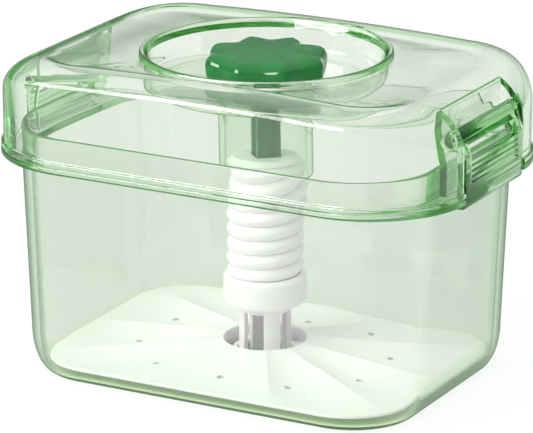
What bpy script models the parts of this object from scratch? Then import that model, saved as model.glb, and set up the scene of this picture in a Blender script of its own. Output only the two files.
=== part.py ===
"""Pickle press: a clear container and hood lid with two lock levers, and a screw spindle that pushes
a press plate down through a sprung plunger. Metres, +Z up, origin under the middle of the base."""

import math

import bmesh
import bpy
from mathutils import Matrix, Vector

# Shared clearances
SEAT_GAP = 0.0003
RUN_GAP = 0.0004
OVERRUN = 0.004

# Container, sized from its rim down
RIM_HALF_X = 0.089
RIM_HALF_Y = 0.0637
RIM_CORNER = 0.0325
RIM_HEIGHT = 0.102
RIM_ROUND = 0.0007
WALL_LEAN_X = 0.0034
WALL_LEAN_Y = 0.0017
CORNER_LEAN = 0.0015
BASE_HALF_X = RIM_HALF_X - WALL_LEAN_X
BASE_HALF_Y = RIM_HALF_Y - WALL_LEAN_Y
BASE_CORNER = RIM_CORNER - CORNER_LEAN
BASE_FILLET_RUN = 0.0078
BASE_FILLET_RISE = 0.018
CONTAINER_WALL = 0.003
FLOOR_THICKNESS = 0.0025
FLOOR_FILLET_RUN = 0.0045
FLOOR_FILLET_RISE = 0.0155
FLANGE_THICKNESS = 0.0023
FLANGE_BELOW_RIM = 0.0113
FLANGE_TOP = RIM_HEIGHT - FLANGE_BELOW_RIM
FLANGE_REACH_X = 0.011
FLANGE_REACH_Y = 0.0033
FLANGE_CORNER_SPREAD = 0.009

# Lid hood, on the container's flange
LID_BOTTOM = FLANGE_TOP + SEAT_GAP
LID_FLANGE_HALF_X = RIM_HALF_X + FLANGE_REACH_X
LID_FLANGE_HALF_Y = RIM_HALF_Y + FLANGE_REACH_Y
LID_FLANGE_CORNER = RIM_CORNER + FLANGE_CORNER_SPREAD
LID_FLANGE_STEP = 0.001
LID_FLANGE_THICKNESS = 0.002
LID_WALL = 0.0019
LID_END_WALL = 0.0038
HOOD_END_RUN = 0.0205
HOOD_END_RISE = 0.0185
HOOD_END_HEIGHT = 0.0359
HOOD_END_TOP = LID_BOTTOM + HOOD_END_HEIGHT
HOOD_SIDE_RUN = 0.0144
HOOD_SIDE_RISE = 0.006
HOOD_HEIGHT = 0.039
HOOD_CREST = LID_BOTTOM + HOOD_HEIGHT
HOOD_CROWN_DROP = 0.0012
END_SHARE_POWER = 3
PANEL_DIP = 0.0014
PANEL_TOP = HOOD_CREST - PANEL_DIP
LIP_RUN = 0.005

# Well in the lid, its raised rim and the nut tube under it
BEAD_MARGIN = 0.0016
BEAD_RADIUS = LID_FLANGE_HALF_Y - LID_FLANGE_STEP - HOOD_SIDE_RUN - BEAD_MARGIN
BEAD_FOOT = 0.0004
BEAD_WIDTH = 0.0023
BEAD_HEIGHT = 0.0021
BEAD_TOP = PANEL_TOP + BEAD_HEIGHT
BEAD_ROUND = 0.0009
WELL_DRAFT = 0.0022
WELL_TOP_RADIUS = BEAD_RADIUS - BEAD_WIDTH
WELL_FLOOR_RADIUS = WELL_TOP_RADIUS - WELL_DRAFT
WELL_FILLET = 0.004
WELL_DEPTH = 0.0116
WELL_FLOOR_TOP = PANEL_TOP - WELL_DEPTH
WELL_WALL = 0.002
NUT_RADIUS = 0.0186
NUT_BORE = 0.016
NUT_LENGTH = 0.0387
NUT_BOTTOM = WELL_FLOOR_TOP - NUT_LENGTH

# Screw thread, shared by the spindle and the nut tube
PITCH = 0.0058
THREAD_CREST = 0.01545
THREAD_ROOT = 0.0135
THREAD_FULLNESS = 0.75
NUT_RIDGE_TIP = 0.0145
NUT_RIDGE_TIP_HALF = 0.00035
NUT_RIDGE_BASE_HALF = 0.0011
NUT_RIDGE_TURNS = 1.25

# Recess between the two cheeks at each short end
RECESS_HALF_Y = 0.0262
CHEEK_THICKNESS = 0.0022
RECESS_TIP_INSET = 0.0167
RECESS_STEP_INSET = 0.0155
RECESS_STEP_DROP = 0.0097
RECESS_LEDGE_INSET = 0.0107
RECESS_LEDGE_DROP = 0.0128
RECESS_WALL_INSET = 0.0083
RECESS_WALL_RISE = 0.012

# Lock levers, placed from the lid's flange and crest
PIVOT_INSET = 0.0063
PIVOT_DROP = 0.0168
PIVOT_X = LID_FLANGE_HALF_X - PIVOT_INSET
PIVOT_Z = HOOD_CREST - PIVOT_DROP
LEVER_BAR_RADIUS = 0.0031
LEVER_BAR_DEGREES = (20, 230)
TRUNNION_RADIUS = 0.0026
TRUNNION_REACH = 0.0027
BOSS_RADIUS = 0.0034
BOSS_REACH = 0.0044
LEVER_OUTER_INSET = 0.0005
LEVER_OUTER_X = LID_FLANGE_HALF_X - LEVER_OUTER_INSET
LEVER_THICKNESS = 0.0033
LEVER_SHOULDER_DROP = 0.0072
LEVER_SHOULDER_Z = PIVOT_Z - LEVER_SHOULDER_DROP
LEVER_NOSE_INSET = 0.0032
LEVER_NOSE_X = LID_FLANGE_HALF_X - LEVER_NOSE_INSET
HOOK_REACH = 0.0022
HOOK_THICKNESS = 0.0018
HOOK_DROP = 0.0006
HOOK_SLANT = 0.0009
WINDOW_HALF_Y = 0.0205
WINDOW_DROP = 0.0027
WINDOW_HEIGHT = 0.006
WINDOW_HIGH = PIVOT_Z - WINDOW_DROP
WINDOW_LOW = WINDOW_HIGH - WINDOW_HEIGHT
GROOVE_COUNT = 4
GROOVE_WIDTH = 0.0009
GROOVE_DEPTH = 0.001
GROOVE_RISE = 0.0045
GROOVE_LOW = LID_BOTTOM + GROOVE_RISE
GROOVE_STEP = 0.0022

# Knob and its square shaft, hung from the well's floor
KNOB_RADIUS = 0.025
KNOB_LOBES = 8
KNOB_VALLEY = 0.0026
KNOB_HEIGHT = 0.014
KNOB_TOP = WELL_FLOOR_TOP + KNOB_HEIGHT
KNOB_EDGE = 0.0045
KNOB_VALLEY_FLARE = 0.003
KNOB_SKIRT_RADIUS = 0.0235
NECK_RADIUS = 0.008
NECK_LENGTH = 0.0055
NECK_BOTTOM = WELL_FLOOR_TOP - NECK_LENGTH
BARB_RADIUS = 0.009
BARB_HEIGHT = 0.0014
SHAFT_SIDE = 0.0095
SHAFT_LENGTH = 0.047
SHAFT_BOTTOM = WELL_FLOOR_TOP - SHAFT_LENGTH
SHAFT_GROOVE_WIDTH = 0.005
SHAFT_GROOVE_DEPTH = 0.0007

# Spindle and the end cap on it
SPINDLE_ENGAGEMENT = 0.0092
SPINDLE_TOP = NUT_BOTTOM + SPINDLE_ENGAGEMENT
SPINDLE_TOP_RADIUS = 0.0129
SPINDLE_CAP = 0.006
SPINDLE_BORE = 0.0122
SPIGOT_RADIUS = 0.0132
SPIGOT_BOTTOM = 0.03
COLLAR_RADIUS = 0.0167
COLLAR_TOP = 0.039
COLLAR_BOTTOM = 0.027
COLLAR_CHAMFER = 0.0016

# Plunger
PLUNGER_RADIUS = 0.0104
PLUNGER_BORE = 0.0076
PLUNGER_TOP = 0.0405
PLUNGER_FLANGE_RADIUS = 0.0119
PLUNGER_FLANGE_THICKNESS = 0.002
SLEEVE_BOTTOM = 0.0236
LEG_COUNT = 4
LEG_WIDTH = 0.007
LEG_THICKNESS = 0.002
LEG_BOTTOM = 0.0033
FOOT_RADIUS = 0.0124
FOOT_THICKNESS = 0.0017

# Plunger spring
SPRING_RADIUS = 0.0094
SPRING_WIRE = 0.0006
SPRING_TURNS = 7
SPRING_END_TURNS = 0.75
SPRING_END_GAP = 0.0006

# Press plate, inside the container
PLATE_END_GAP = 0.0045
PLATE_SIDE_GAP = 0.003
PLATE_CORNER_INSET = 0.006
PLATE_HALF_X = BASE_HALF_X - CONTAINER_WALL - PLATE_END_GAP
PLATE_HALF_Y = BASE_HALF_Y - CONTAINER_WALL - PLATE_SIDE_GAP
PLATE_CORNER = BASE_CORNER - PLATE_CORNER_INSET
PLATE_RIM_TOP = 0.0057
PLATE_THICKNESS = 0.0022
PLATE_EDGE_ROUND = 0.0016
HUB_HOLE_RADIUS = 0.0164
HUB_TOP = 0.0117
HUB_WALL = 0.002
FLUTE_DEPTH = 0.0022
HUB_RING_WALL = 0.0022
HUB_RING_THICKNESS = 0.0022
SPOKE_WIDTH = 0.006
PLATE_LEVEL_SHARES = (0, 0.12, 0.35, 0.6, 0.85, 1)
SECTOR_DEGREES = 30
RIDGE_DEGREES = (0, 30, 60, 120, 150, 180, 210, 240, 300, 330)
DRAIN_RADIUS = 0.0015
DRAIN_X_SHARES = (0.634, 0.378, 0.0)
DRAIN_Y_SHARES = (0.264, 0.643, 0.661)

# Mesh fineness
CORNER_STEPS = 7
LONG_STEPS = 8
SHORT_STEPS = 4
ROUND_STEPS = 36
FINE_STEPS = 56
THREAD_STEPS = 28
THREAD_ROWS = 6
DRAIN_STEPS = 10
SQUARE_SIDES = 4
SPRING_STEPS = 8
FILLET_STEPS = 5
HOOD_STEPS = 6
SECTOR_STEPS = 6
SMOOTH_ANGLE = math.radians(32)


# Materials

def plastic(name, colour, roughness, alpha=1.0):
    """A moulded plastic as a Principled BSDF."""
    material = bpy.data.materials.new(name)
    material.use_nodes = True
    shader = material.node_tree.nodes["Principled BSDF"]
    shader.inputs["Base Color"].default_value = (*colour, 1.0)
    shader.inputs["Roughness"].default_value = roughness
    shader.inputs["Metallic"].default_value = 0.0
    shader.inputs["Alpha"].default_value = alpha
    return material


def spring_steel(name):
    """Polished stainless wire."""
    material = plastic(name, (0.62, 0.63, 0.62), 0.22)
    material.node_tree.nodes["Principled BSDF"].inputs["Metallic"].default_value = 1.0
    return material


# Building helpers

def add_object(name, bm, material=None):
    """Turn a bmesh into an object with outward faces and smooth round sides."""
    bmesh.ops.recalc_face_normals(bm, faces=bm.faces)
    mesh = bpy.data.meshes.new(name)
    bm.to_mesh(mesh)
    bm.free()
    mesh.shade_smooth()
    mesh.set_sharp_from_angle(angle=SMOOTH_ANGLE)
    obj = bpy.data.objects.new(name, mesh)
    bpy.context.scene.collection.objects.link(obj)
    if material:
        mesh.materials.append(material)
    else:
        obj.hide_render = True
        obj.display_type = 'WIRE'
    return obj


def combine(target, operation, tool):
    """Cut or join a helper body into the target."""
    modifier = target.modifiers.new(f"{operation.lower()}_{tool.name}", 'BOOLEAN')
    modifier.operation = operation
    modifier.solver = 'EXACT'
    modifier.object = tool


def put_origin(obj, point):
    """Move the object's origin to a point without moving its shape."""
    obj.data.transform(Matrix.Translation(-Vector(point)))
    obj.location = point


def outline(half_x, half_y, corner):
    """Points and outward normals of a rounded rectangle, anticlockwise from the middle of a corner."""
    places = []
    for index, (sign_x, sign_y) in enumerate(((1, 1), (-1, 1), (-1, -1), (1, -1))):
        centre = Vector((sign_x * (half_x - corner), sign_y * (half_y - corner)))
        for step in range(CORNER_STEPS + 1):
            angle = math.pi / 2 * (index + step / CORNER_STEPS)
            normal = Vector((math.cos(angle), math.sin(angle)))
            places.append((centre + normal * corner, normal))
        next_sign_x, next_sign_y = ((-1, 1), (-1, -1), (1, -1), (1, 1))[index]
        next_centre = Vector((next_sign_x * (half_x - corner), next_sign_y * (half_y - corner)))
        steps = LONG_STEPS if index % 2 == 0 else SHORT_STEPS
        start = centre + normal * corner
        end = next_centre + normal * corner
        for step in range(1, steps):
            places.append((start.lerp(end, step / steps), normal))
    return places


def ring(half_x, half_y, corner, height):
    """One level of a rounded rectangle."""
    return [Vector((*point, height)) for point, normal in outline(half_x, half_y, corner)]


def circle(radius, height, steps=ROUND_STEPS):
    """One level of a round shape."""
    turn = math.tau / steps
    return [Vector((radius * math.cos(turn * i), radius * math.sin(turn * i), height)) for i in range(steps)]


def loft(name, rings, material=None, capped=True):
    """Skin a stack of rings. Capped, its ends are closed, and otherwise the last ring meets the first."""
    bm = bmesh.new()
    loops = [[bm.verts.new(point) for point in level] for level in rings]
    pairs = list(zip(loops, loops[1:]))
    if not capped:
        pairs.append((loops[-1], loops[0]))
    for low, high in pairs:
        for i in range(len(low)):
            j = (i + 1) % len(low)
            bm.faces.new((low[i], low[j], high[j], high[i]))
    if capped:
        bm.faces.new(loops[0][::-1])
        bm.faces.new(loops[-1])
    return add_object(name, bm, material)


def turned(name, profile, material=None, steps=ROUND_STEPS):
    """A closed ring-shaped body turned about Z from a closed (radius, height) outline."""
    return loft(name, [circle(radius, height, steps) for radius, height in profile], material, capped=False)


def turned_solid(name, profile, material=None, steps=ROUND_STEPS):
    """A solid turned about Z, from its bottom up, closed by flat ends."""
    return loft(name, [circle(radius, height, steps) for radius, height in profile], material)


def prism(name, points, half_width, material=None):
    """An outline in XZ pulled out evenly to both sides along Y."""
    front = [Vector((x, -half_width, z)) for x, z in points]
    back = [Vector((x, half_width, z)) for x, z in points]
    return loft(name, [front, back], material)


def block(name, low, high, material=None):
    """A box between two corners."""
    points = ((low[0], low[2]), (high[0], low[2]), (high[0], high[2]), (low[0], high[2]))
    front = [Vector((x, low[1], z)) for x, z in points]
    back = [Vector((x, high[1], z)) for x, z in points]
    return loft(name, [front, back], material)


def cross_pin(name, x, z, radius, y_from, y_to):
    """A short cylinder along Y."""
    turn = math.tau / (ROUND_STEPS // 2)
    levels = []
    for y in (y_from, y_to):
        level = [Vector((x + radius * math.cos(turn * i), y, z + radius * math.sin(turn * i)))
                 for i in range(ROUND_STEPS // 2)]
        levels.append(level)
    return loft(name, levels)


def fillet(steps):
    """Angles of a quarter round, from 0 to 90 degrees."""
    return [math.pi / 2 * step / steps for step in range(steps + 1)]


# Container

def wall_half(height):
    """Half sizes and corner radius of the container's outside at a height above its base fillet."""
    share = (height - BASE_FILLET_RISE) / (RIM_HEIGHT - BASE_FILLET_RISE)
    half_x = BASE_HALF_X + (RIM_HALF_X - BASE_HALF_X) * share
    half_y = BASE_HALF_Y + (RIM_HALF_Y - BASE_HALF_Y) * share
    corner = BASE_CORNER + (RIM_CORNER - BASE_CORNER) * share
    return half_x, half_y, corner


def inset_ring(sizes, inset, height):
    """A level drawn in evenly from given half sizes and corner radius."""
    half_x, half_y, corner = sizes
    return ring(half_x - inset, half_y - inset, corner - inset, height)


def make_container(material):
    """Clear box, its walls leaning out a little, with a flange that the lid sits on and a rim above it."""
    flange_bottom = FLANGE_TOP - FLANGE_THICKNESS
    flange = (LID_FLANGE_HALF_X, LID_FLANGE_HALF_Y, LID_FLANGE_CORNER)
    base = wall_half(BASE_FILLET_RISE)
    levels = []
    for angle in fillet(FILLET_STEPS):
        inset = BASE_FILLET_RUN * (1 - math.sin(angle))
        levels.append(inset_ring(base, inset, BASE_FILLET_RISE * (1 - math.cos(angle))))
    levels.append(inset_ring(wall_half(flange_bottom), 0, flange_bottom))
    levels.append(inset_ring(flange, 0, flange_bottom))
    levels.append(inset_ring(flange, 0, FLANGE_TOP))
    levels.append(inset_ring(wall_half(FLANGE_TOP), 0, FLANGE_TOP))
    levels.append(inset_ring(wall_half(RIM_HEIGHT), 0, RIM_HEIGHT - RIM_ROUND))
    levels.append(inset_ring(wall_half(RIM_HEIGHT), RIM_ROUND, RIM_HEIGHT))
    levels.append(inset_ring(wall_half(RIM_HEIGHT), CONTAINER_WALL - RIM_ROUND, RIM_HEIGHT))
    levels.append(inset_ring(wall_half(RIM_HEIGHT), CONTAINER_WALL, RIM_HEIGHT - RIM_ROUND))
    for angle in reversed(fillet(FILLET_STEPS)):
        inset = CONTAINER_WALL + FLOOR_FILLET_RUN * (1 - math.sin(angle))
        levels.append(inset_ring(base, inset, FLOOR_THICKNESS + FLOOR_FILLET_RISE * (1 - math.cos(angle))))
    container = loft("container", levels, material)
    for side, sign in (("right", 1), ("left", -1)):
        near = sign * LEVER_NOSE_X
        far = sign * (LID_FLANGE_HALF_X + OVERRUN)
        notch = block(f"flange_notch_{side}", (min(near, far), -RECESS_HALF_Y, flange_bottom - OVERRUN),
                      (max(near, far), RECESS_HALF_Y, FLANGE_TOP + OVERRUN))
        combine(container, 'DIFFERENCE', notch)
    return container


# Lid

def hood_levels(side_wall=0, end_wall=0):
    """Levels of the hood from the top of its wall to the lip round its panel, drawn in by its walls for
    the inside. The short ends and the long sides turn over by their own curves, mixed round the corners."""
    half_x = LID_FLANGE_HALF_X - LID_FLANGE_STEP
    half_y = LID_FLANGE_HALF_Y - LID_FLANGE_STEP
    corner = LID_FLANGE_CORNER - LID_FLANGE_STEP
    places = outline(half_x, half_y, corner)
    levels = []
    for angle in fillet(HOOD_STEPS):
        fall = 1 - math.cos(angle)
        rise = math.sin(angle)
        level = []
        for point, normal in places:
            end_share = abs(normal.x) ** END_SHARE_POWER
            inset = fall * (HOOD_END_RUN * end_share + HOOD_SIDE_RUN * (1 - end_share))
            wall = end_wall * end_share + side_wall * (1 - end_share)
            end_height = HOOD_END_TOP - HOOD_END_RISE * (1 - rise)
            crown_drop = HOOD_CROWN_DROP * min(1, abs(point.x) / (half_x - corner)) ** 2
            side_height = HOOD_CREST - crown_drop - HOOD_SIDE_RISE * (1 - rise)
            height = end_height * end_share + side_height * (1 - end_share)
            place = point - normal * (inset + wall * math.cos(angle))
            level.append(Vector((*place, height - side_wall * rise)))
        levels.append(level)
    lip = []
    for (point, normal), crest in zip(places, levels[-1]):
        end_share = abs(normal.x) ** END_SHARE_POWER
        place = crest.xy - normal * LIP_RUN
        reach = max(place.length, BEAD_RADIUS + BEAD_FOOT)
        lip.append(Vector((*(place.normalized() * reach), crest.z - PANEL_DIP * (1 - end_share))))
    levels.append(lip)
    return levels


def round_level(guide, radius, height):
    """A round level whose points lie in the same directions as those of the guide level."""
    return [Vector((*(point.xy.normalized() * radius), height)) for point in guide]


def hood_body_levels():
    """Levels of the outside of the hood as one solid, with its flange and the bead round the well."""
    top = hood_levels()
    wall = (LID_FLANGE_HALF_X - LID_FLANGE_STEP, LID_FLANGE_HALF_Y - LID_FLANGE_STEP,
            LID_FLANGE_CORNER - LID_FLANGE_STEP)
    flange = (LID_FLANGE_HALF_X, LID_FLANGE_HALF_Y, LID_FLANGE_CORNER)
    levels = [inset_ring(flange, 0, LID_BOTTOM), inset_ring(flange, 0, LID_BOTTOM + LID_FLANGE_THICKNESS),
              inset_ring(wall, 0, LID_BOTTOM + LID_FLANGE_THICKNESS)]
    levels += top
    guide = top[-1]
    levels.append(round_level(guide, BEAD_RADIUS, PANEL_TOP))
    levels.append(round_level(guide, BEAD_RADIUS, BEAD_TOP - BEAD_ROUND))
    levels.append(round_level(guide, BEAD_RADIUS - BEAD_ROUND, BEAD_TOP))
    return levels


def make_hood_cavity():
    """Inside of the hood, open below."""
    top = hood_levels(LID_WALL, LID_END_WALL)
    below = [Vector((point.x, point.y, LID_BOTTOM - OVERRUN)) for point in top[0]]
    rim = round_level(top[-1], BEAD_RADIUS, PANEL_TOP - LID_WALL)
    return loft("hood_cavity", [below] + top + [rim])


def recess_points(offset, sign):
    """Section of the end recess in XZ, drawn towards the middle by an offset."""
    reach = LID_FLANGE_HALF_X + OVERRUN
    top = HOOD_CREST + OVERRUN
    bottom = LID_BOTTOM - OVERRUN
    tip = LID_FLANGE_HALF_X - RECESS_TIP_INSET - offset
    step = LID_FLANGE_HALF_X - RECESS_STEP_INSET - offset
    ledge = LID_FLANGE_HALF_X - RECESS_LEDGE_INSET - offset
    wall = LID_FLANGE_HALF_X - RECESS_WALL_INSET - offset
    points = [(tip, top), (step, HOOD_CREST - RECESS_STEP_DROP - offset / 2),
              (ledge, HOOD_CREST - RECESS_LEDGE_DROP - offset / 2), (wall, LID_BOTTOM + RECESS_WALL_RISE),
              (wall, bottom), (reach, bottom), (reach, top)]
    return [(sign * x, z) for x, z in points]


def well_profile(offset, top):
    """Outline of the well from its floor up, widened by an offset for the outside of its wall."""
    points = []
    for angle in fillet(FILLET_STEPS):
        radius = WELL_FLOOR_RADIUS + offset - (WELL_FILLET + offset) * (1 - math.sin(angle))
        height = WELL_FLOOR_TOP - offset + (WELL_FILLET + offset) * (1 - math.cos(angle))
        points.append((radius, height))
    points.append((WELL_TOP_RADIUS + offset, top))
    return points


def make_nut_tube():
    """Tube under the well, with the helical ridge inside its lower end that carries the spindle."""
    top = WELL_FLOOR_TOP - WELL_WALL / 2
    tube = turned("nut_tube", [(NUT_BORE, NUT_BOTTOM), (NUT_RADIUS, NUT_BOTTOM), (NUT_RADIUS, top),
                               (NUT_BORE, top)])
    wall_middle = (NUT_BORE + NUT_RADIUS) / 2
    steps = round(THREAD_STEPS * NUT_RIDGE_TURNS)
    start = NUT_BOTTOM + NUT_RIDGE_BASE_HALF + RUN_GAP
    groove = groove_height(0)
    turns_up = math.ceil((start - groove) / PITCH)
    levels = []
    for step in range(steps + 1):
        angle = math.tau * step / THREAD_STEPS
        height = groove + PITCH * (turns_up + step / THREAD_STEPS)
        level = []
        for radius, shift in ((NUT_RIDGE_TIP, -NUT_RIDGE_TIP_HALF), (wall_middle, -NUT_RIDGE_BASE_HALF),
                              (wall_middle, NUT_RIDGE_BASE_HALF), (NUT_RIDGE_TIP, NUT_RIDGE_TIP_HALF)):
            level.append(Vector((radius * math.cos(angle), radius * math.sin(angle), height + shift)))
        levels.append(level)
    combine(tube, 'UNION', loft("nut_ridge", levels))
    return tube


def make_lid(material):
    """Deep clear hood with a round well for the knob, end recesses for the levers and a nut tube."""
    lid = loft("lid", hood_body_levels(), material)
    cavity = make_hood_cavity()
    well_room = turned_solid("well_room", well_profile(WELL_WALL, HOOD_CREST + OVERRUN), steps=FINE_STEPS)
    combine(cavity, 'DIFFERENCE', well_room)
    recesses = []
    for side, sign in (("right", 1), ("left", -1)):
        room = prism(f"recess_room_{side}", recess_points(LID_WALL, sign), RECESS_HALF_Y + CHEEK_THICKNESS)
        combine(cavity, 'DIFFERENCE', room)
        recesses.append(prism(f"recess_{side}", recess_points(0, sign), RECESS_HALF_Y))
    combine(lid, 'DIFFERENCE', cavity)
    for recess in recesses:
        combine(lid, 'DIFFERENCE', recess)
    well = turned_solid("well", well_profile(0, HOOD_CREST + OVERRUN), steps=FINE_STEPS)
    combine(lid, 'DIFFERENCE', well)
    combine(lid, 'UNION', make_nut_tube())
    for sign_x in (1, -1):
        for sign_y in (1, -1):
            corner = f"{'right' if sign_x > 0 else 'left'}_{'back' if sign_y > 0 else 'front'}"
            inner = RECESS_HALF_Y + CHEEK_THICKNESS / 2
            outer = RECESS_HALF_Y + BOSS_REACH
            boss = cross_pin(f"boss_{corner}", sign_x * PIVOT_X, PIVOT_Z, BOSS_RADIUS,
                             sign_y * inner, sign_y * outer)
            combine(lid, 'UNION', boss)
            mouth = sign_y * (RECESS_HALF_Y - RUN_GAP * 2)
            deep = sign_y * (RECESS_HALF_Y + TRUNNION_REACH)
            socket = cross_pin(f"socket_{corner}", sign_x * PIVOT_X, PIVOT_Z, TRUNNION_RADIUS + SEAT_GAP,
                               mouth, deep)
            combine(lid, 'DIFFERENCE', socket)
    bore = turned_solid("knob_bore", [(NECK_RADIUS + RUN_GAP, NUT_BOTTOM), (NECK_RADIUS + RUN_GAP, KNOB_TOP)])
    combine(lid, 'DIFFERENCE', bore)
    return lid


# Lock levers

def lever_points():
    """Section of the right lever in XZ when closed, anticlockwise from the outside of its pivot bar."""
    flange_bottom = FLANGE_TOP - FLANGE_THICKNESS
    hook_top = flange_bottom - HOOK_DROP
    face = LEVER_OUTER_X - LEVER_THICKNESS
    nose = LEVER_NOSE_X + SEAT_GAP
    points = []
    start, end = LEVER_BAR_DEGREES
    steps = FILLET_STEPS * 2
    for step in range(steps + 1):
        angle = math.radians(start + (end - start) * step / steps)
        x = PIVOT_X + LEVER_BAR_RADIUS * math.cos(angle)
        points.append((x, PIVOT_Z + LEVER_BAR_RADIUS * math.sin(angle)))
    points += [(face, LEVER_SHOULDER_Z), (face, LID_BOTTOM + LID_FLANGE_THICKNESS), (nose, LID_BOTTOM),
               (nose, hook_top), (nose - HOOK_REACH, hook_top), (nose - HOOK_REACH, hook_top - HOOK_THICKNESS),
               (LEVER_OUTER_X - HOOK_SLANT, hook_top - HOOK_THICKNESS), (LEVER_OUTER_X, hook_top),
               (LEVER_OUTER_X, LEVER_SHOULDER_Z)]
    return points


def make_lever(name, sign, material):
    """Clear lock lever: a pivot bar with end pins, a window, finger ribs and a hook at the bottom."""
    half_width = RECESS_HALF_Y - RUN_GAP * 2
    lever = prism(name, [(sign * x, z) for x, z in lever_points()], half_width, material)
    deep = LEVER_OUTER_X - LEVER_THICKNESS - OVERRUN
    out = LEVER_OUTER_X + OVERRUN
    window = block(f"{name}_window", (min(sign * deep, sign * out), -WINDOW_HALF_Y, WINDOW_LOW),
                   (max(sign * deep, sign * out), WINDOW_HALF_Y, WINDOW_HIGH))
    combine(lever, 'DIFFERENCE', window)
    floor = LEVER_OUTER_X - GROOVE_DEPTH
    for index in range(GROOVE_COUNT):
        low = GROOVE_LOW + GROOVE_STEP * index
        groove = block(f"{name}_groove_{index + 1}", (min(sign * floor, sign * out), -WINDOW_HALF_Y, low),
                       (max(sign * floor, sign * out), WINDOW_HALF_Y, low + GROOVE_WIDTH))
        combine(lever, 'DIFFERENCE', groove)
    for end, sign_y in (("front", -1), ("back", 1)):
        reach = RECESS_HALF_Y + TRUNNION_REACH - SEAT_GAP
        pin = cross_pin(f"{name}_pin_{end}", sign * PIVOT_X, PIVOT_Z, TRUNNION_RADIUS,
                        sign_y * WINDOW_HALF_Y, sign_y * reach)
        combine(lever, 'UNION', pin)
    put_origin(lever, (sign * PIVOT_X, 0, PIVOT_Z))
    return lever


# Knob

def make_knob(material):
    """Lobed knob with a round neck through the lid, a snap barb under it and a square shaft below."""
    knob_bottom = WELL_FLOOR_TOP + RUN_GAP
    rows = [(KNOB_SKIRT_RADIUS, knob_bottom, 0), (KNOB_RADIUS, KNOB_TOP - KNOB_EDGE * 2, 0)]
    for angle in fillet(FILLET_STEPS):
        fall = 1 - math.cos(angle)
        rows.append((KNOB_RADIUS - KNOB_EDGE * fall, KNOB_TOP - KNOB_EDGE * (1 - math.sin(angle)), fall))
    levels = []
    for radius, height, fall in rows:
        level = []
        for step in range(FINE_STEPS):
            angle = math.tau * step / FINE_STEPS
            valley_share = 0.5 - 0.5 * math.cos(KNOB_LOBES * angle)
            reach = radius - (KNOB_VALLEY + KNOB_VALLEY_FLARE * fall) * valley_share
            level.append(Vector((reach * math.cos(angle), reach * math.sin(angle), height)))
        levels.append(level)
    knob = loft("knob", levels, material)
    floor_under = WELL_FLOOR_TOP - WELL_WALL
    barb_top = floor_under - RUN_GAP
    neck = turned_solid("knob_neck", [(NECK_RADIUS, NECK_BOTTOM), (NECK_RADIUS, barb_top - BARB_HEIGHT),
                                      (BARB_RADIUS, barb_top), (NECK_RADIUS, barb_top),
                                      (NECK_RADIUS, knob_bottom + BARB_HEIGHT)])
    combine(knob, 'UNION', neck)
    shaft = loft("knob_shaft", [circle(SHAFT_SIDE / math.sqrt(2), SHAFT_BOTTOM, SQUARE_SIDES),
                                circle(SHAFT_SIDE / math.sqrt(2), floor_under, SQUARE_SIDES)])
    combine(knob, 'UNION', shaft)
    for index in range(SQUARE_SIDES):
        groove = block(f"shaft_groove_{index + 1}",
                       (SHAFT_SIDE / 2 - SHAFT_GROOVE_DEPTH, -SHAFT_GROOVE_WIDTH / 2, SHAFT_BOTTOM - OVERRUN),
                       (SHAFT_SIDE / 2 + OVERRUN, SHAFT_GROOVE_WIDTH / 2, NECK_BOTTOM - SHAFT_GROOVE_DEPTH))
        groove.rotation_euler.z = math.tau * (index + 0.5) / SQUARE_SIDES
        combine(knob, 'DIFFERENCE', groove)
    return knob


# Spindle

def groove_height(angle):
    """Height of the bottom of the thread's lowest groove at an angle about Z."""
    return COLLAR_TOP + PITCH * (angle / math.tau - 1)


def make_thread():
    """Right-hand rounded thread as one helical skin, a turn longer than the spindle at both ends."""
    turns = math.ceil((SPINDLE_TOP - COLLAR_TOP) / PITCH) + 2
    bm = bmesh.new()
    grid = {}
    for row in range(turns * THREAD_ROWS + 1):
        swell = abs(math.sin(math.pi * row / THREAD_ROWS)) ** THREAD_FULLNESS
        radius = THREAD_ROOT + (THREAD_CREST - THREAD_ROOT) * swell
        for step in range(THREAD_STEPS):
            angle = math.tau * step / THREAD_STEPS
            height = groove_height(angle) + PITCH * row / THREAD_ROWS
            grid[row, step] = bm.verts.new((radius * math.cos(angle), radius * math.sin(angle), height))
    last = turns * THREAD_ROWS - THREAD_ROWS

    def vertex(row, step):
        return grid[row, step] if step < THREAD_STEPS else grid[row + THREAD_ROWS, 0]

    for row in range(last):
        for step in range(THREAD_STEPS):
            low = (vertex(row, step), vertex(row, step + 1))
            bm.faces.new((*low, vertex(row + 1, step + 1), vertex(row + 1, step)))
    for row, side in ((0, -1), (last, 1)):
        middle = bm.verts.new((0, 0, groove_height(0) + PITCH * (row / THREAD_ROWS + side)))
        edge = [vertex(row, step) for step in range(THREAD_STEPS + 1)]
        edge += [grid[index, 0] for index in range(row + THREAD_ROWS - 1, row - 1, -1)]
        for start, end in zip(edge, edge[1:]):
            bm.faces.new((start, end, middle))
    loose = [vert for vert in bm.verts if not vert.link_faces]
    bmesh.ops.delete(bm, geom=loose, context='VERTS')
    return add_object("thread", bm)


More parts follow.
